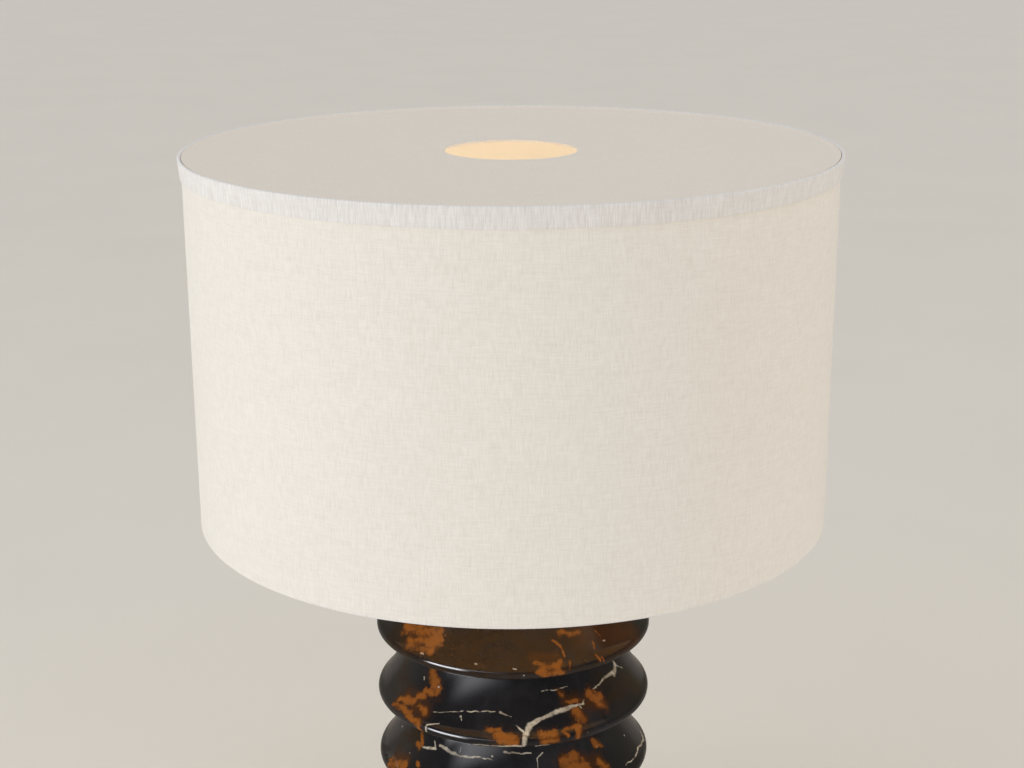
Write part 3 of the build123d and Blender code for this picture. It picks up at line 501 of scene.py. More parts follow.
def unroll(bm, radius, height):
    """Writes a UV map in metres: the way round the lamp, and what height gives for each vertex of a face."""
    layer = bm.loops.layers.uv.new("Unrolled")
    for face in bm.faces:
        centre = face.calc_center_median()
        middle = bearing(centre)
        for loop in face.loops:
            angle = bearing(loop.vert.co)
            if angle - middle > math.pi:
                angle -= math.tau
            elif middle - angle > math.pi:
                angle += math.tau
            loop[layer].uv = (angle * radius, height(loop.vert.co, centre))


def new_object(bm, name):
    """Writes the mesh out and links it as a new object."""
    mesh = bpy.data.meshes.new(name)
    bm.to_mesh(mesh)
    bm.free()
    made = bpy.data.objects.new(name, mesh)
    bpy.context.scene.collection.objects.link(made)
    return made


def put_in(bm, name, body, nodes, material, sharp=math.radians(35)):
    """Makes the piece's object, in the place of its CAD nodes."""
    piece = new_object(bm, name)
    piece.data.shade_smooth()
    piece.data.set_sharp_from_angle(angle=sharp)
    piece.data.materials.append(material)
    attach(piece, body)
    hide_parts(*nodes)
    return piece


class StoneSizes:
    """Where the rings of the column are, from its CAD box and the settings."""

    def __init__(self, settings):
        low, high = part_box("marble_column")
        self.bottom = low.z
        self.top = high.z
        self.radius = high.x
        self.count = settings.ring_count
        self.pitch = settings.ring_pitch
        self.below = settings.edge_below
        self.above = settings.edge_above
        self.lip = settings.lip_tilt
        self.tilt = settings.face_tilt
        self.foot_rise = settings.foot_rise
        self.foot = self.radius - self.below
        self.groove = self.radius - settings.groove_depth
        self.nose = self.lip_point(math.radians(24))
        out_of_lip = Vector((math.cos(self.lip), math.sin(self.lip)))
        out_of_face = Vector((math.cos(self.tilt), math.sin(self.tilt)))
        self.flare_centre = self.lip_point(self.lip) + settings.lip_flare * out_of_lip
        start = self.flare_centre - settings.lip_flare * out_of_face
        end = Vector((self.groove, self.pitch - self.below - settings.groove_flat))
        reach = end - start
        self.sweep = 2 * (math.atan2(reach.y, reach.x) - math.pi / 2 - self.tilt)
        self.face = reach.length / (2 * math.sin(self.sweep / 2))
        self.face_centre = start - self.face * out_of_face

    def lip_point(self, tilt):
        """Radius and rise of the lip's upper edge where it looks up by the tilt."""
        return Vector((self.radius - self.above * (1 - math.cos(tilt)), self.above * math.sin(tilt)))

    def crest(self, ring):
        """Height of a ring's widest line, counted from the top."""
        return self.bottom + self.foot_rise + self.below + (self.count - ring) * self.pitch

    def face_sweep(self, ring):
        """How far a ring's face bends in. The top ring is cut off flat."""
        if ring > 1:
            return self.sweep
        rise = (self.top - self.crest(ring) - self.face_centre.y) / self.face
        return math.asin(rise) - self.tilt

    def unrolled(self, bearing_degrees, ring, lift):
        """A place on the unrolled stone, from degrees round, ring and mm over its lip's nose."""
        return (math.radians(bearing_degrees) * self.radius, lift * MM - 2 * ring * self.pitch, 0)

    def height(self, point, middle):
        """The unrolled height of a vertex, on the ring that its face's middle belongs to."""
        ring = self.count - math.floor((middle.z - self.bottom - self.foot_rise) / self.pitch)
        up = point.z - self.crest(ring) - self.nose.y
        away = math.hypot(math.hypot(point.x, point.y) - self.nose.x, up)
        return math.copysign(away, up) - 2 * ring * self.pitch


# Marks on the rings' front: two ends in degrees round, ring and mm over its lip's nose, then half widths
RUST = (
    ((-56, 2, 16), (-37, 2, 21), 6.5), ((-50, 2, 10), (-36, 2, 14), 6.5), ((-42, 2, 7), (-37, 2, 8), 4),
    ((22, 2, 25), (32, 2, 23), 3), ((18, 2, 21), (21, 2, 16), 1, 1.4),
    ((21, 2, 16), (22, 2, 10), 1.4, 0.8), ((9, 2, 7), (13, 2, 5), 2.5), ((12, 2, 3), (18, 2, 4), 4.5),
    ((11, 2, -1), (19, 2, -2), 4), ((24, 2, 5), (23, 2, 0), 1.3), ((37, 2, 14), (37, 2, 9), 1),
    ((36, 2, 5), (37, 2, 1), 1.3), ((39, 2, 2), (39, 2, -1), 1), ((41, 2, 23), (43, 2, 17), 0.8),
    ((-47, 3, 38), (-42, 3, 32), 5), ((-42, 3, 30), (-40, 3, 27), 5), ((-46, 3, 23), (-42, 3, 24), 4),
    ((-60, 3, 8), (-50, 3, 14), 3.5), ((-50, 3, 17), (-45, 3, 20), 3.5), ((-47, 3, 12), (-42, 3, 9), 3.5),
    ((-62, 3, 3), (-50, 3, 5), 3), ((-50, 3, 3), (-42, 3, 1), 3), ((-42, 3, -1), (-41, 3, -5), 2.5),
    ((22, 3, 33), (24, 3, 29), 2.5, 3.5), ((24, 3, 24), (34, 3, 22), 1.5, 2),
    ((39, 3, 26), (43, 3, 19), 5), ((42, 3, 16), (44, 3, 12), 4), ((29, 3, 14), (32, 3, 10), 4.5),
    ((20, 3, 5), (28, 3, 6), 1.6), ((28, 3, 5), (27, 3, -3), 3), ((21, 3, 3), (22, 3, 1), 1.8),
    ((-11, 3, 8), (-6, 3, 8), 2.5), ((-6, 3, 3), (-1, 3, 2), 5), ((-5, 3, -1), (1, 3, -1), 3),
    ((12, 3, 3), (17, 3, 3), 4), ((12, 3, -1), (17, 3, -2), 3), ((45, 4, 35), (49, 4, 30), 3.5),
    ((24, 4, 30), (32, 4, 29), 5), ((26, 4, 24), (36, 4, 22), 6), ((44, 4, 19), (47, 4, 14), 4),
    ((-67, 4, 2), (-58, 4, 9), 5), ((-56, 4, 37), (-52, 4, 30), 2), ((-56, 4, 28), (-53, 4, 27), 2.5),
    ((-50, 4, 17), (-49, 4, 15), 2),
)
WASHES = (
    ((36, 2, 22), (60, 2, 8), 13), ((8, 2, 11), (18, 2, 11), 3.5), ((-56, 3, 13), (-43, 3, 10), 8),
    ((26, 3, 24), (44, 3, 15), 6), ((26, 4, 28), (44, 4, 20), 7), ((-66, 4, 8), (-58, 4, 12), 6),
)
# Olive-brown areas: stains in the stone, except the first, the wide band across the second ring's front under
# the shade, which is partly stain and partly painted reflection of the lamp-lit shade inside
STAINS_AND_REFLECTION = (
    ((-56, 2, 12), (58, 2, 12), 24), ((-72, 3, 30), (-58, 3, 10), 10), ((48, 3, 24), (72, 3, 14), 15),
    ((30, 3, 24), (29, 3, 8), 10), ((-70, 4, 20), (-58, 4, 34), 10),
)
VEINS = (
    ((4, 3, -3), (5, 3, 4), 1.6, 2.2), ((5, 3, 4), (7, 3, 11), 2.4, 2.2),
    ((7, 3, 11), (12, 3, 15), 1.9, 1.5), ((12, 3, 15), (22, 3, 19), 1.5, 2),
    ((22, 3, 19), (29, 3, 20), 1.9, 1.4), ((29, 3, 20), (34, 3, 19), 1.3, 0.8),
    ((31, 3, 19), (33, 3, 14), 0.6, 0.3), ((33, 3, 19), (35, 3, 22), 0.7, 0.3),
    ((1, 3, 12), (4, 3, 6), 0.5, 1), ((-17, 3, -4), (-8, 3, -4), 0.4, 0.7),
    ((-8, 3, -4), (3, 3, -4), 0.8, 1.2), ((9, 3, -5), (15, 3, -5), 0.6, 0.4),
    ((65, 3, 34), (60, 3, 28), 2.2, 2.4), ((60, 3, 30), (53, 3, 31), 2, 1.2),
    ((53, 3, 31), (47, 3, 28), 1, 0.7), ((47, 3, 28), (42, 3, 27), 0.7, 0.4),
    ((66, 3, 32), (70, 3, 27), 0.7, 0.4), ((-38, 3, 12), (-26, 3, 17), 0.3, 0.35),
    ((-26, 3, 17), (-15, 3, 20), 0.4, 0.55), ((-15, 3, 20), (-8, 3, 21), 0.55, 0.35),
    ((-6, 3, 20), (-4, 3, 19), 0.9, 0.7), ((-4, 3, 19), (-1, 3, 18), 0.6, 0.3),
    ((-24, 3, 14), (-23, 3, 11), 0.7, 0.5), ((12, 3, 34), (23, 3, 34), 0.3, 0.5),
    ((23, 3, 34), (28, 3, 34), 0.45, 0.25), ((-38, 3, -3), (-38, 3, 2), 1, 0.7),
    ((-38, 3, 2), (-33, 3, 6), 0.7, 0.35), ((-41, 4, 35), (-33, 4, 33), 1.2, 1.4),
    ((-33, 4, 33), (-27, 4, 32), 1.3, 0.9), ((-27, 4, 32), (-17, 4, 34), 0.8, 0.9),
    ((-17, 4, 34), (-11, 4, 33), 0.8, 0.4), ((-51, 4, 28), (-43, 4, 31), 0.9, 1.3),
    ((-43, 4, 31), (-45, 4, 37), 0.8, 0.5), ((-28, 4, 39), (-28, 4, 35), 0.5, 0.35),
    ((-5, 4, 39), (9, 4, 38), 0.9, 0.7), ((15, 4, 38), (12, 4, 34), 0.5, 0.6),
    ((12, 4, 34), (12, 4, 27), 0.6, 0.4), ((94, 4, 5), (87, 4, 3), 0.8, 1),
    ((87, 4, 3), (76, 4, 7), 1, 0.8), ((76, 4, 7), (69, 4, 6), 0.8, 0.7),
    ((69, 4, 6), (59, 4, 7), 0.7, 0.4), ((-41, 2, 4), (-40, 2, 4), 0.7), ((-16, 2, 5), (-15, 2, 5), 0.6),
    ((0, 2, 3), (1, 2, 3), 0.6), ((43, 2, 12), (44, 2, 12), 0.6), ((-51, 3, 32), (-50, 3, 30), 0.9, 0.6),
)


def marble_finish(settings, sizes):
    """Black marble with rust patches, olive stains, pale veins and specks, turned and polished. The olive
    band across the second ring's front is partly stain and partly painted reflection of the lamp-lit shade
    inside.
    """
    material, n, shader = new_finish("Marble")
    place = n.place()
    folded = n.wander(place, 34.0, 0.02, 4.0)
    unrolled = n.wander(n.wander(n.place("UV"), 70.0, 0.006), 240.0, 0.0022)
    fine_unrolled = n.wander(n.wander(n.place("UV"), 150.0, 0.003), 420.0, 0.0006)
    ragged = n.minus(n.noise(folded, 170.0, 4.0, 0.65), 0.5)

    shown_front = n.step(n.split(place)[1], 0.015, -0.003)
    lowest_shown = sizes.crest(4)
    blend = 0.2 * sizes.pitch
    shown_rings = n.step(n.split(place)[2], lowest_shown - blend, lowest_shown + blend)
    elsewhere = n.minus(1.0, n.times(shown_front, shown_rings))

    def marks(strokes, vector):
        """How deep a place lies in the nearest mark: 1 on its middle line, 0 at its edge, less outside."""
        deepest = None
        for start, end, *half in strokes:
            depth = n.group(
                stroke_group(), place=vector, start=sizes.unrolled(*start), end=sizes.unrolled(*end),
                half=half[0] * MM, end_half=half[-1] * MM,
            )[0]
            deepest = depth if deepest is None else n.most(deepest, depth)
        return deepest

    drifting = n.times(n.minus(n.noise(folded, 17.0, 2.0, 0.5), 0.6), 6.0)
    wild = n.minus(drifting, n.times(n.step(elsewhere, 1.0, 0.0), 4.0))
    depth = n.most(marks(RUST, unrolled), wild)
    torn = n.plus(depth, n.times(ragged, 2.1))
    rust = n.step(torn, -0.03, 0.16)
    halo = n.step(n.plus(depth, n.times(ragged, 3.0)), -1.0, 0.3)

    stain_wild = n.times(n.step(n.noise(folded, 12.0, 2.0), 0.5, 0.66), elsewhere)
    # Placed olive-brown: stains, and across the second ring's front a painted reflection of the lamp-lit
    # shade inside
    placed_stain_and_reflection = n.step(n.plus(marks(STAINS_AND_REFLECTION, unrolled), ragged), -0.3, 0.7)
    stain_and_reflection = n.most(placed_stain_and_reflection, stain_wild)

    pits = n.noise(place, 260.0, 5.0, 0.7)
    vein_depth = n.maths("MULTIPLY_ADD", n.minus(pits, 0.5), 0.5, marks(VEINS, fine_unrolled))
    fade = n.span(n.step(n.noise(place, 60.0, 3.0), 0.34, 0.56), 0.6, 1.0)
    vein_placed = n.times(n.step(vein_depth, -0.2, 0.6), fade)
    cells = {"Vector": n.wander(place, 22.0, 0.05, 3.0), "Scale": 13.0}
    net = n.add("ShaderNodeTexVoronoi", cells, feature="DISTANCE_TO_EDGE").outputs["Distance"]
    net_where = n.step(n.noise(place, 16.0, 2.0), 0.54, 0.66)
    vein_wild = n.times(n.times(n.step(net, 0.02, 0.008), net_where), elsewhere)
    vein = n.most(vein_placed, vein_wild)

    seeds = n.add("ShaderNodeTexVoronoi", {"Vector": place, "Scale": 130.0}).outputs
    rare = n.step(n.split(seeds["Color"])[0], 0.93, 0.95)
    speck = n.times(n.step(seeds["Distance"], 0.13, 0.06), rare)

    ground = n.mix(n.step(n.noise(folded, 16.0, 5.0, 0.6), 0.42, 0.78), settings.ground, settings.cloud)
    streaks = n.noise(n.vector("MULTIPLY", folded, (1.0, 1.0, 2.6)), 60.0, 5.0, 0.65)
    with_stain_and_reflection = n.mix(n.times(stain_and_reflection, n.step(streaks, 0.2, 0.7)), ground, settings.stain_and_reflection)
    wash = n.step(n.plus(marks(WASHES, unrolled), ragged), -0.7, 1.1)
    washed = n.mix(n.times(wash, 0.8), with_stain_and_reflection, settings.rust_dark)
    haloed = n.mix(n.times(halo, 0.35), washed, settings.rust_dark)
    blotch = n.minus(n.noise(folded, 75.0, 4.0, 0.6), 0.5)
    pitted = n.plus(torn, n.times(n.minus(pits, 0.5), 1.6))
    warmth = n.step(n.plus(pitted, n.times(blotch, 2.6)), -0.15, 0.9)
    rusted = n.mix(rust, haloed, n.mix(warmth, settings.rust_dark, settings.rust))
    vein_tone = n.mix(n.step(pits, 0.36, 0.6), settings.vein_dull, settings.vein)
    veined = n.mix(vein, rusted, vein_tone)
    coloured = n.mix(n.times(speck, 0.8), veined, settings.vein)

    handled = n.group(
        handling_group(), place=place, grain=60.0, low=settings.polish - 0.03, high=settings.polish + 0.07
    )
    roughness = n.plus(handled["Polish"], n.times(n.most(rust, vein), 0.06))
    relief = n.plus(n.times(pits, n.times(rust, 0.6)), n.times(vein, -0.5))
    turned = n.group(turning_group(), place=place, grain=900.0)["Height"]
    normal = n.bump(relief, 0.2, 0.1 * MM, n.bump(turned, 0.05, 0.05 * MM))
    set_shader(n, shader, base_color=coloured, roughness=roughness, normal=normal, ior=settings.index)
    return material


def linen_finish(name, yarn, shaded, threads, place="UV", lit=(0, 0, 0), strength=0.0, slub=0.35, warp=0.6):
    """Woven linen. The place says which map its threads follow, and lit is the light through it."""
    material, n, shader = new_finish(name)
    weave = n.group(weave_group(), place=n.place(place), threads=threads, slub=slub, warp=warp)
    drift = n.step(n.noise(n.place(), 14.0, 3.0), 0.3, 0.7)
    thread = n.mix(weave["Tone"], shaded, yarn)
    coloured = n.mix(n.times(drift, 0.12), thread, shaded)
    roughness = n.span(weave["Tone"], 0.96, 0.84)
    normal = n.bump(weave["Height"], 0.2, 0.1 * MM)
    set_shader(n, shader, base_color=coloured, roughness=roughness, normal=normal, sheen_weight=0.12)
    if strength:
        glow = n.mix(weave["Tone"], dimmed(lit, 0.86), lit)
        set_shader(n, shader, emission_color=glow, emission_strength=strength)
    return material


class LAMP_OT_marble_column(bpy.types.Operator):
    """Turn the ringed marble column and give it its stone"""

    bl_idname = "lamp.marble_column"
    bl_label = "Marble column"

    def execute(self, context):
        settings = context.scene.lamp_stone
        sizes = StoneSizes(settings)
        steps = settings.arc_steps
        core = settings.core_radius
        flare = sizes.flare_centre
        face = sizes.face_centre
        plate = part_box("base_plate")[1]
        cap_low, cap_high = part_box("top_cap")
        recess = plate.x + CLEARANCE
        seat = cap_high.x + CLEARANCE

        bm = bmesh.new()
        start = bm.verts.new((recess, 0, sizes.bottom))
        last = line_to(bm, start, sizes.foot, sizes.bottom)
        for ring in range(sizes.count, 0, -1):
            crest = sizes.crest(ring)
            if ring < sizes.count:
                last = line_to(bm, last, sizes.groove, crest - sizes.below)
            last = line_to(bm, last, sizes.foot, crest - sizes.below)
            last = arc_about(bm, last, sizes.foot, crest, math.pi / 2, steps)
            last = arc_about(bm, last, sizes.radius - sizes.above, crest, sizes.lip, steps)
            last = arc_about(bm, last, flare.x, crest + flare.y, sizes.tilt - sizes.lip, steps // 2)
            last = arc_about(bm, last, face.x, crest + face.y, sizes.face_sweep(ring), steps)
        bored = ((seat, sizes.top), (seat, cap_low.z), (core, cap_low.z), (core, plate.z), (recess, plate.z))
        for x, z in bored:
            last = line_to(bm, last, x, z)
        bm.edges.new((last, start))
        turn(bm, settings.turn_steps)
        unroll(bm, sizes.radius, sizes.height)
        finish = marble_finish(settings, sizes)
        column = put_in(bm, "marble_rings", "base", ["marble_column"], finish, math.radians(50))
        self.drill(column, settings)
        return {"FINISHED"}

    def drill(self, column, settings):
        """Cuts the cord's hole and the flat for its bush out of the bottom ring's back."""
        low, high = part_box("cord_grommet")
        height = (low.z + high.z) / 2
        flange = (high.x - low.x) / 2 + CLEARANCE
        seat = high.y - BUSH_FLANGE
        depth = 2 * high.y
        lying = Matrix.Rotation(math.pi / 2, 4, "X")
        for radius, begin in ((settings.cord_hole_radius, settings.core_radius / 2), (flange, seat)):
            bm = bmesh.new()
            through_back = Matrix.Translation((0, begin + depth / 2, height)) @ lying
            bmesh.ops.create_cone(
                bm, cap_ends=True, segments=64, radius1=radius, radius2=radius, depth=depth,
                matrix=through_back,
            )
            close_up(bm)
            drill = new_object(bm, "cord_drill")
            cut = column.modifiers.new("Cord hole", "BOOLEAN")
            cut.object = drill
            cut.solver = "EXACT"
            shaped = column.evaluated_get(bpy.context.evaluated_depsgraph_get())
            result = bpy.data.meshes.new_from_object(shaped)
            column.modifiers.remove(cut)
            spare = (column.data, drill.data)
            column.data = result
            result.name = column.name
            bpy.data.objects.remove(drill)
            for mesh in spare:
                bpy.data.meshes.remove(mesh)
        if not column.data.polygons:
            raise RuntimeError("The cord's hole took the whole column away")


class LAMP_OT_drum_linen(bpy.types.Operator):
    """Stretch the linen round the drum, with its overlap at the back"""

    bl_idname = "lamp.drum_linen"
    bl_label = "Drum linen"

    def execute(self, context):
        cloth = context.scene.lamp_cloth
        low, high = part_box("shade_linen")
        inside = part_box("shade_liner")[1].x
        band_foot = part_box("shade_top_band")[0].z
        bm = bmesh.new()
        outline(bm, ((inside, low.z), (high.x, low.z), (high.x, high.z), (inside, high.z)))
        tall = [e for e in bm.edges if abs(e.verts[0].co.z - e.verts[1].co.z) > MM]
        bmesh.ops.subdivide_edges(bm, edges=tall, cuts=24)
        turn(bm, cloth.drum_steps)
        whole = bm.verts[:] + bm.edges[:] + bm.faces[:]
        bmesh.ops.bisect_plane(bm, geom=whole, plane_co=(0, 0, band_foot - MM), plane_no=UPRIGHT)
        for vert in bm.verts:
            out = Vector((vert.co.x, vert.co.y, 0)).normalized()
            vert.co += out * noise.noise(vert.co * 9.0) * cloth.unevenness
        half = cloth.seam_width / 2 / high.x
        flap = [
            face for face in bm.faces
            if face.normal.y > 0.9
            and math.pi - abs(bearing(face.calc_center_median())) < half
            and face.calc_center_median().z < band_foot - MM
        ]
        raised = bmesh.ops.extrude_face_region(bm, geom=flap)["geom"]
        bmesh.ops.delete(bm, geom=flap, context="FACES_ONLY")
        lifted = [v for v in raised if isinstance(v, bmesh.types.BMVert)]
        bmesh.ops.translate(bm, verts=lifted, vec=(0, cloth.seam_rise, 0))
        close_up(bm)
        unroll(bm, high.x, lambda point, middle: point.z)
        finish = linen_finish(
            "Drum linen", cloth.drum_yarn, cloth.drum_shade, cloth.threads, lit=cloth.glow,
            strength=cloth.drum_glow,
        )
        piece = put_in(bm, "drum_linen", "shade", ["shade_linen"], finish)
        return {"FINISHED"}


class LAMP_OT_shade_trim(bpy.types.Operator):
    """Fold the linen band over the top rim and the hem under the bottom ring"""

    bl_idname = "lamp.shade_trim"
    bl_label = "Shade trim"

    def execute(self, context):
        cloth = context.scene.lamp_cloth
        threads = cloth.threads * cloth.trim_density
        finish = linen_finish("Trim linen", cloth.trim_yarn, cloth.trim_shade, threads, slub=0.6, warp=0.8)
        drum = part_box("shade_linen")[1].x
        self.fold_band(cloth, finish, drum)
        self.fold_hem(cloth, finish, drum)
        return {"FINISHED"}

    def fold_band(self, cloth, finish, drum):
        """The band thickens towards its fold over the top rim. Its lower edge is slightly wavy."""
        low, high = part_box("shade_top_band")
        fold = (high.x - drum) / 2
        bm = bmesh.new()
        start = bm.verts.new((drum, 0, low.z))
        last = line_to(bm, start, drum + cloth.band_thickness, low.z)
        last = line_to(bm, last, high.x, high.z - fold)
        last = arc_about(bm, last, drum + fold, high.z - fold, math.pi, 8)
        bm.edges.new((last, start))
        tall = [e for e in bm.edges if abs(e.verts[0].co.z - e.verts[1].co.z) > 5 * MM]
        bmesh.ops.subdivide_edges(bm, edges=tall, cuts=5)
        turn(bm, cloth.drum_steps)
        soften(bm, BAND_SOFTNESS, 2, math.radians(60))
        close_up(bm)
        for vert in bm.verts:
            wave = noise.noise(Vector((vert.co.x, vert.co.y, 0)) * 30.0)
            if vert.co.z < low.z + MM:
                vert.co.z += wave * BAND_WAVE
        unroll(bm, drum, lambda point, middle: point.z - math.hypot(point.x, point.y))
        band = put_in(bm, "shade_band", "shade", ["shade_top_band"], finish)

    def fold_hem(self, cloth, finish, drum):
        """The hem runs under the bottom wire, up behind it and onto the liner's inside."""
        low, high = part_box("shade_bottom_hem")
        wire_low, wire_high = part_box("shade_bottom_ring")
        liner_low, liner_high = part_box("shade_liner")
        thickness = liner_low.z - low.z
        inside = liner_high.x - MM
        wire_width = wire_high.z - wire_low.z
        within = inside - wire_width - thickness
        shoulder = low.z + thickness + wire_width
        bm = bmesh.new()
        outline(bm, (
            (drum, low.z + thickness), (drum, low.z), (within, low.z), (within, shoulder),
            (inside - thickness, high.z), (inside, high.z), (within + thickness, shoulder),
            (within + thickness, low.z + thickness),
        ))
        turn(bm, cloth.drum_steps)
        soften(bm, HEM_SOFTNESS, 3)
        close_up(bm)
        unroll(bm, drum, lambda point, middle: point.z - math.hypot(point.x, point.y))
        hem = put_in(bm, "shade_hem", "shade", ["shade_bottom_hem"], finish)


class LAMP_OT_diffuser_cloth(bpy.types.Operator):
    """Stretch the linen disc over the diffuser and turn it into the hole"""

    bl_idname = "lamp.diffuser_cloth"
    bl_label = "Diffuser cloth"

    def execute(self, context):
        cloth = context.scene.lamp_cloth
        low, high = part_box("diffuser_linen")
        panel_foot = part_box("diffuser_panel")[0].z
        hole = cloth.hole_radius
        turned = hole - cloth.hole_turn
        bend = turned + cloth.hole_round
        bm = bmesh.new()
        last = start = bm.verts.new((high.x, 0, low.z))
        rise = cloth.rim_rise
        for inwards, up in ((0, 1), (0.4, 1), (1.2, 0.4), (2.8, 0)):
            last = line_to(bm, last, high.x - inwards * rise, high.z + up * rise)
        last = line_to(bm, last, bend, high.z)
        last = arc_about(bm, last, bend, high.z - cloth.hole_round, math.pi / 2, 5)
        for x, z in ((turned, panel_foot), (hole, panel_foot), (hole, low.z)):
            last = line_to(bm, last, x, z)
        bm.edges.new((last, start))
        wide = [e for e in bm.edges if abs(e.verts[0].co.x - e.verts[1].co.x) > 50 * MM]
        bmesh.ops.subdivide_edges(bm, edges=wide, cuts=28)
        turn(bm, cloth.disc_steps)
        for vert in bm.verts:
            if vert.co.z > high.z - 0.01 * MM:
                vert.co.z += DISC_SWELL * (noise.noise(vert.co * 14.0) + 0.5)
        close_up(bm)
        finish = linen_finish(
            "Diffuser linen", cloth.disc_yarn, cloth.disc_shade, cloth.threads * cloth.disc_density, "Object",
            cloth.glow, cloth.disc_glow,
        )
        disc = put_in(bm, "diffuser_cloth", "shade", ["diffuser_linen"], finish)
        return {"FINISHED"}


class LAMP_OT_foot_felt(bpy.types.Operator):
    """Lay the felt under the stone foot"""

    bl_idname = "lamp.foot_felt"
    bl_label = "Foot felt"

    def execute(self, context):
        cloth = context.scene.lamp_cloth
        low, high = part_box("felt_pad")
        thickness = high.z - low.z
        bm = bmesh.new()
        start = bm.verts.new((0, 0, low.z))
        last = line_to(bm, start, high.x - thickness / 2, low.z)
        last = arc_about(bm, last, high.x - thickness / 2, low.z + thickness / 2, math.pi, 6)
        line_to(bm, last, 0, high.z)
        wide = [e for e in bm.edges if abs(e.verts[0].co.x - e.verts[1].co.x) > 10 * MM]
        bmesh.ops.subdivide_edges(bm, edges=wide, cuts=8)
        turn(bm, cloth.felt_steps)
        for vert in bm.verts:
            if math.hypot(vert.co.x, vert.co.y) > high.x - thickness:
                vert.co *= 1 + FELT_FRAY * noise.noise(vert.co * 300.0)
        close_up(bm)
        material, n, shader = new_finish("Felt")
        place = n.place()
        fibres = n.noise(n.wander(place, 700.0, 0.003), 1500.0, 4.0, 0.7, 1.5)
        coloured = n.mix(n.step(fibres, 0.3, 0.7), dimmed(cloth.felt, 0.5), cloth.felt)
        roughness = n.span(fibres, 1.0, 0.88)
        normal = n.bump(fibres, 0.8, 0.3 * MM)
        set_shader(n, shader, base_color=coloured, roughness=roughness, normal=normal, sheen_weight=0.3)
        pad = put_in(bm, "foot_felt", "base", ["felt_pad"], material)
        return {"FINISHED"}


def metal_finish(name, colour, worn, grain, low, high, turned=True):
    """Satin metal with handling marks, browned or dulled where it is worn."""
    material, n, shader = new_finish(name)
    place = n.place()
    handled = n.group(handling_group(), place=place, grain=grain, low=low, high=high)
    coloured = n.mix(n.times(handled["Smudge"], 0.55), colour, worn)
    height = handled["Scratch"]
    if turned:
        height = n.group(turning_group(), place=place, grain=6000.0)["Height"]
    normal = n.bump(height, 0.12, 0.03 * MM)
    set_shader(n, shader, base_color=coloured, roughness=handled["Polish"], normal=normal, metallic=1.0)
    return material


def plastic_finish(name, colour, grain, low, high, dark=0.82):
    """A moulded or coated surface with its fine skin and slight mottling."""
    material, n, shader = new_finish(name)
    place = n.place()
    skin = n.group(moulding_group(), place=place, grain=grain)
    handled = n.group(handling_group(), place=place, grain=90.0, low=low, high=high)
    coloured = n.mix(skin["Mottle"], dimmed(colour, dark), colour)
    normal = n.bump(skin["Height"], 0.2, 0.05 * MM)
    set_shader(n, shader, base_color=coloured, roughness=handled["Polish"], normal=normal)
    return material, n, shader


class LAMP_OT_brass_work(bpy.types.Operator):
    """Give the turned, spun and bent brass its satin finish"""

    bl_idname = "lamp.brass_work"
    bl_label = "Brass work"

    def execute(self, context):
        colours = context.scene.lamp_fittings
        turned = metal_finish("Satin brass", colours.brass, colours.brass_tarnish, 110.0, 0.22, 0.42)
        dress(
            turned, "top_cap", "neck", "socket_cap", "socket_shell", "shade_stud", "finial", "center_contact",
            "terminal_screws",
        )
        plated = metal_finish("Brass plate", colours.plating, colours.brass_tarnish, 160.0, 0.2, 0.38, False)
        dress(
            plated, "harp", "harp_saddle", "harp_ferrule_left", "harp_ferrule_right", "spider_hub",
            "spider_arms",
        )
        return {"FINISHED"}


class LAMP_OT_steel_work(bpy.types.Operator):
    """Give the hidden steel its zinc and the cord bush its rubber"""

    bl_idname = "lamp.steel_work"
    bl_label = "Steel and rubber"

    def execute(self, context):
        colours = context.scene.lamp_fittings
        zinc = metal_finish("Zinc steel", colours.steel, dimmed(colours.steel, 0.7), 140.0, 0.3, 0.5, False)
        dress(
            zinc, "base_plate", "pipe_washer", "pipe_nut", "threaded_pipe", "socket_set_screw", "switch_shaft"
        )
        rubber = plastic_finish("Bush rubber", colours.rubber, 900.0, 0.55, 0.75)[0]
        dress(rubber, "cord_grommet")
        return {"FINISHED"}


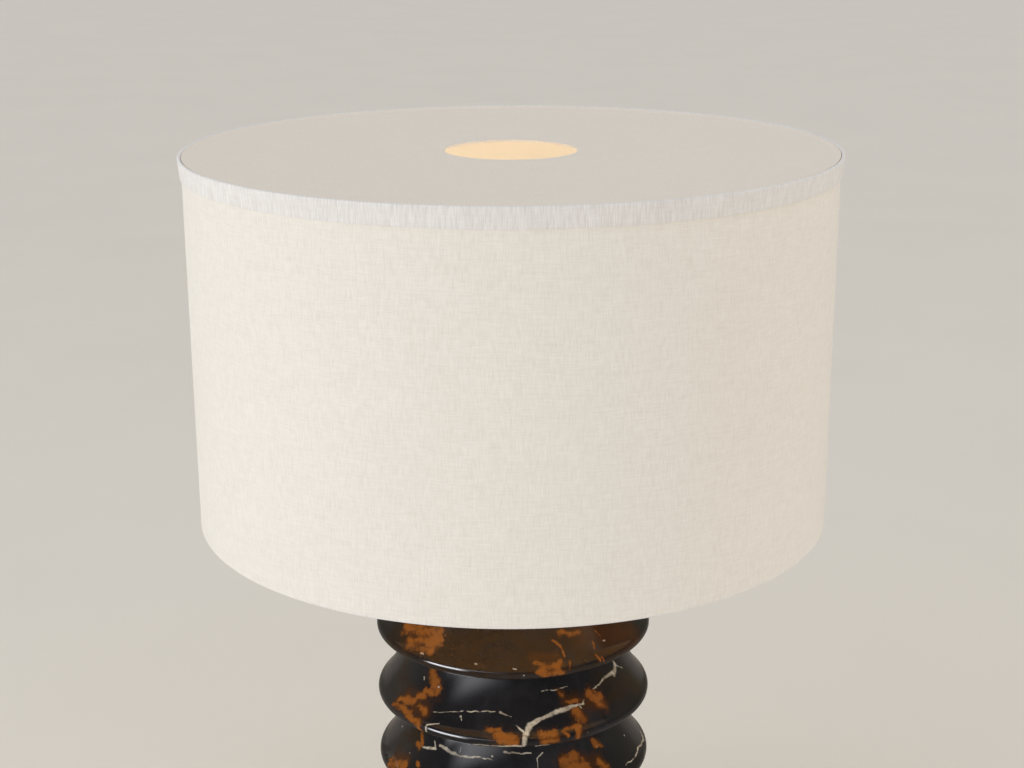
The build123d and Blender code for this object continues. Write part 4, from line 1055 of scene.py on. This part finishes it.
class LAMP_OT_socket_and_bulb(bpy.types.Operator):
    """Finish the socket's inner pieces, the switch knob and the lit bulb"""

    bl_idname = "lamp.socket_and_bulb"
    bl_label = "Socket and bulb"

    def execute(self, context):
        colours = context.scene.lamp_fittings
        moulding = plastic_finish("Switch moulding", colours.bakelite, 700.0, 0.3, 0.5)[0]
        dress(moulding, "socket_body", "switch_knob")
        dress(plastic_finish("Bulb insulator", colours.bakelite, 900.0, 0.2, 0.35)[0], "bulb_insulator")
        dress(plastic_finish("Pressed fibre", colours.fibre, 400.0, 0.7, 0.9, 0.6)[0], "socket_sleeve")
        dulled = dimmed(colours.aluminium, 0.8)
        rolled = metal_finish("Rolled aluminium", colours.aluminium, dulled, 150.0, 0.25, 0.42)
        dress(rolled, "screw_shell", "bulb_contact")
        dress(plastic_finish("Bulb housing", colours.bulb_white, 500.0, 0.3, 0.45, 0.95)[0], "bulb_housing")
        dress(plastic_finish("Light board", colours.bulb_white, 300.0, 0.4, 0.6, 0.9)[0], "bulb_light_board")
        opal, n, shader = plastic_finish("Opal globe", colours.bulb_white, 600.0, 0.4, 0.55, 0.97)
        low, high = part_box("bulb_globe")
        deep = n.step(n.split(n.place())[2], low.z, high.z)
        warm = n.mix(deep, dimmed(colours.bulb_light, 0.8), colours.bulb_light)
        set_shader(n, shader, emission_color=warm, emission_strength=colours.bulb_strength)
        dress(opal, "bulb_globe")
        self.roll_cap(colours, rolled)
        return {"FINISHED"}

    def roll_cap(self, colours, finish):
        """The bulb's screw cap: a rolled thread that rises as it turns, with plain ends."""
        low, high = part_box("bulb_cap")
        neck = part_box("bulb_insulator")[1].x
        crest = high.x
        root = crest - colours.thread_depth
        flank = root + 0.3 * colours.thread_depth
        pitch = colours.thread_pitch
        plain = colours.cap_plain
        wall = colours.cap_wall
        turns = max(1, int((high.z - low.z - 2 * plain) / pitch))
        bottom = low.z + plain
        bm = bmesh.new()
        last = bm.verts.new((root, 0, bottom))
        for x, share in ((flank, 0.2), (crest, 0.42), (crest, 0.58), (flank, 0.8), (root, 1.0)):
            last = line_to(bm, last, x, bottom + share * pitch)
        steps = 48 * turns
        bmesh.ops.spin(
            bm, geom=bm.verts[:] + bm.edges[:], cent=(0, 0, 0), axis=UPRIGHT, angle=math.tau * turns,
            steps=steps, dvec=(0, 0, pitch * turns / steps),
        )
        close_up(bm)
        bmesh.ops.solidify(bm, geom=bm.faces[:], thickness=CAP_SHEET)
        core = bmesh.new()
        outline(core, (
            (neck - wall, low.z), (neck, low.z), (root, bottom), (root, high.z), (root - wall, high.z),
            (root - wall, bottom),
        ))
        turn(core, 64)
        mesh = bpy.data.meshes.new("cap_core")
        core.to_mesh(mesh)
        core.free()
        bm.from_mesh(mesh)
        bpy.data.meshes.remove(mesh)
        bmesh.ops.recalc_face_normals(bm, faces=bm.faces[:])
        put_in(bm, "bulb_screw_cap", "bulb", ["bulb_cap"], finish, math.radians(50))


class LAMP_OT_shade_frame(bpy.types.Operator):
    """Finish the shade's rings, liner and diffuser panel"""

    bl_idname = "lamp.shade_frame"
    bl_label = "Shade frame"

    def execute(self, context):
        colours = context.scene.lamp_fittings
        enamel = plastic_finish("White enamel", colours.enamel, 600.0, 0.3, 0.45, 0.93)[0]
        dress(enamel, "shade_top_ring", "shade_bottom_ring")
        styrene, n, shader = plastic_finish("Styrene", colours.styrene, 250.0, 0.5, 0.65, 0.96)
        height = n.split(n.place())[2]
        low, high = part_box("shade_liner")
        lit = n.mix(n.step(height, low.z, high.z), colours.liner_low, colours.liner_high)
        set_shader(n, shader, emission_color=lit, emission_strength=colours.liner_glow)
        # Painted reflection: glossy rays see the liner's white tinted warm, as the lamp-lit inside that the
        # stone mirrors
        mirrored = n.add("ShaderNodeLightPath").outputs["Is Glossy Ray"]
        white = shader.inputs["Base Color"].links[0].from_socket
        painted_warm_reflection = n.mix(1.0, white, colours.painted_liner_reflection, "MULTIPLY")
        set_shader(n, shader, base_color=n.mix(mirrored, white, painted_warm_reflection))
        dress(styrene, "shade_liner", "diffuser_panel")
        return {"FINISHED"}


class LAMP_OT_stage(bpy.types.Operator):
    """Set the pale floor, the soft light and the camera"""

    bl_idname = "lamp.stage"
    bl_label = "Stage"

    def execute(self, context):
        stage = context.scene.lamp_stage
        self.floor(stage)
        self.sky(context.scene, stage)
        middle = (CAD_BOX[0] + CAD_BOX[1]) / 2
        window = self.soft_light("window_light", stage.window_place, middle, (1.0, 0.28))
        window.data.energy = stage.window_power
        window.data.color = stage.window_colour
        fill = self.soft_light("fill_light", stage.fill_place, middle, (1.4, 0.9))
        fill.data.energy = stage.fill_power
        fill.data.color = stage.fill_colour
        fill.visible_glossy = False
        self.camera(context.scene, stage)
        context.scene.view_settings.view_transform = "Standard"
        return {"FINISHED"}

    def floor(self, stage):
        """A wide floor just under the lamp, clear from below and not mirrored by polished pieces."""
        bm = bmesh.new()
        under = Matrix.Translation((0, 0, -0.5 * MM))
        bmesh.ops.create_circle(bm, cap_ends=True, segments=128, radius=stage.floor_radius, matrix=under)
        floor = new_object(bm, "studio_floor")
        material, n, shader = new_finish("Floor paint")
        mottle = n.step(n.noise(n.place(), 3.0, 4.0), 0.3, 0.7)
        coloured = n.mix(mottle, dimmed(stage.floor, 0.985), stage.floor)
        from_above = n.minus(1.0, n.add("ShaderNodeNewGeometry").outputs["Backfacing"])
        set_shader(n, shader, base_color=coloured, roughness=n.span(mottle, 0.9, 0.96), alpha=from_above)
        floor.data.materials.append(material)
        floor.visible_glossy = False

    def sky(self, scene, stage):
        """Even light for matt pieces. Polished ones mirror a dim room, its table, walls, pane and sill."""
        world = bpy.data.worlds.new("Studio")
        world.use_nodes = True
        scene.world = world
        n = Nodes(world.node_tree)
        ray = n.add("ShaderNodeLightPath").outputs
        background = world.node_tree.nodes["Background"]
        x, y, z = n.split(n.place("Generated"))
        turned = n.maths("DEGREES", n.maths("ARCTAN2", x, n.times(y, -1.0)))
        raised = n.maths("DEGREES", n.maths("ARCSINE", z))

        def between(angle, opening, opened, closing, closed):
            """1 where an angle in degrees lies between two soft edges."""
            return n.times(n.step(angle, opening, opened), n.step(angle, closed, closing))

        walled = n.mix(n.step(n.maths("ABSOLUTE", turned), 70.0, 115.0), stage.room, stage.walls)
        room = n.mix(n.step(raised, 1.0, -6.0), walled, stage.table)
        pane = n.times(between(turned, -70.0, -46.0, -42.0, 4.0), between(raised, 8.0, 20.0, 25.0, 31.0))
        room = n.mix(pane, room, dimmed(stage.pane, stage.pane_strength))
        sill = n.times(between(turned, -78.0, -64.0, -46.0, -34.0), between(raised, -8.0, -1.0, 13.0, 20.0))
        room = n.mix(sill, room, dimmed(stage.pane, stage.sill_strength))
        mirrored = n.mix(ray["Is Glossy Ray"], dimmed(stage.sky, stage.sky_strength), room)
        n.feed(background.inputs["Color"], n.mix(ray["Is Camera Ray"], mirrored, stage.floor))

    def soft_light(self, name, place, target, size):
        """A rectangle of light that looks at the target."""
        data = bpy.data.lights.new(name, "AREA")
        data.shape = "RECTANGLE"
        data.size, data.size_y = size
        lamp = bpy.data.objects.new(name, data)
        bpy.context.scene.collection.objects.link(lamp)
        lamp.location = place
        lamp.rotation_euler = (Vector(target) - Vector(place)).to_track_quat("-Z", "Y").to_euler()
        return lamp

    def camera(self, scene, stage):
        """A camera that stands where the photograph was taken from."""
        data = bpy.data.cameras.new("photo_camera")
        data.lens = stage.camera_lens
        data.sensor_width = 36.0
        data.sensor_fit = "HORIZONTAL"
        camera = bpy.data.objects.new("photo_camera", data)
        scene.collection.objects.link(camera)
        camera.matrix_world = (
            Matrix.Translation(stage.camera_place)
            @ Matrix.Rotation(math.pi / 2 - stage.camera_dip, 4, "X")
            @ Matrix.Rotation(stage.camera_roll, 4, "Z")
        )
        scene.camera = camera


OPERATORS = (
    LAMP_OT_marble_column, LAMP_OT_drum_linen, LAMP_OT_shade_trim, LAMP_OT_diffuser_cloth, LAMP_OT_foot_felt,
    LAMP_OT_brass_work, LAMP_OT_steel_work, LAMP_OT_socket_and_bulb, LAMP_OT_shade_frame, LAMP_OT_stage,
)
SETTINGS = {
    "lamp_stone": LampStone, "lamp_cloth": LampCloth, "lamp_fittings": LampFittings, "lamp_stage": LampStage
}


class LAMP_PT_sidebar(bpy.types.Panel):
    """The lamp's pieces and stage"""

    bl_idname = "LAMP_PT_sidebar"
    bl_label = "Marble table lamp"
    bl_space_type = "VIEW_3D"
    bl_region_type = "UI"
    bl_category = "Lamp"

    def draw(self, context):
        for operator in OPERATORS:
            self.layout.operator(operator.bl_idname)


def register():
    for cls in (*SETTINGS.values(), *OPERATORS, LAMP_PT_sidebar):
        bpy.utils.register_class(cls)
    for name, cls in SETTINGS.items():
        setattr(bpy.types.Scene, name, bpy.props.PointerProperty(type=cls))


def unregister():
    for name in SETTINGS:
        delattr(bpy.types.Scene, name)
    for cls in (LAMP_PT_sidebar, *reversed(OPERATORS), *SETTINGS.values()):
        bpy.utils.unregister_class(cls)


def main():
    """Dresses the whole lamp."""
    register()
    bpy.ops.lamp.marble_column()
    bpy.ops.lamp.drum_linen()
    bpy.ops.lamp.shade_trim()
    bpy.ops.lamp.diffuser_cloth()
    bpy.ops.lamp.foot_felt()
    bpy.ops.lamp.brass_work()
    bpy.ops.lamp.steel_work()
    bpy.ops.lamp.socket_and_bulb()
    bpy.ops.lamp.shade_frame()
    bpy.ops.lamp.stage()


if __name__ == "__main__":
    main()
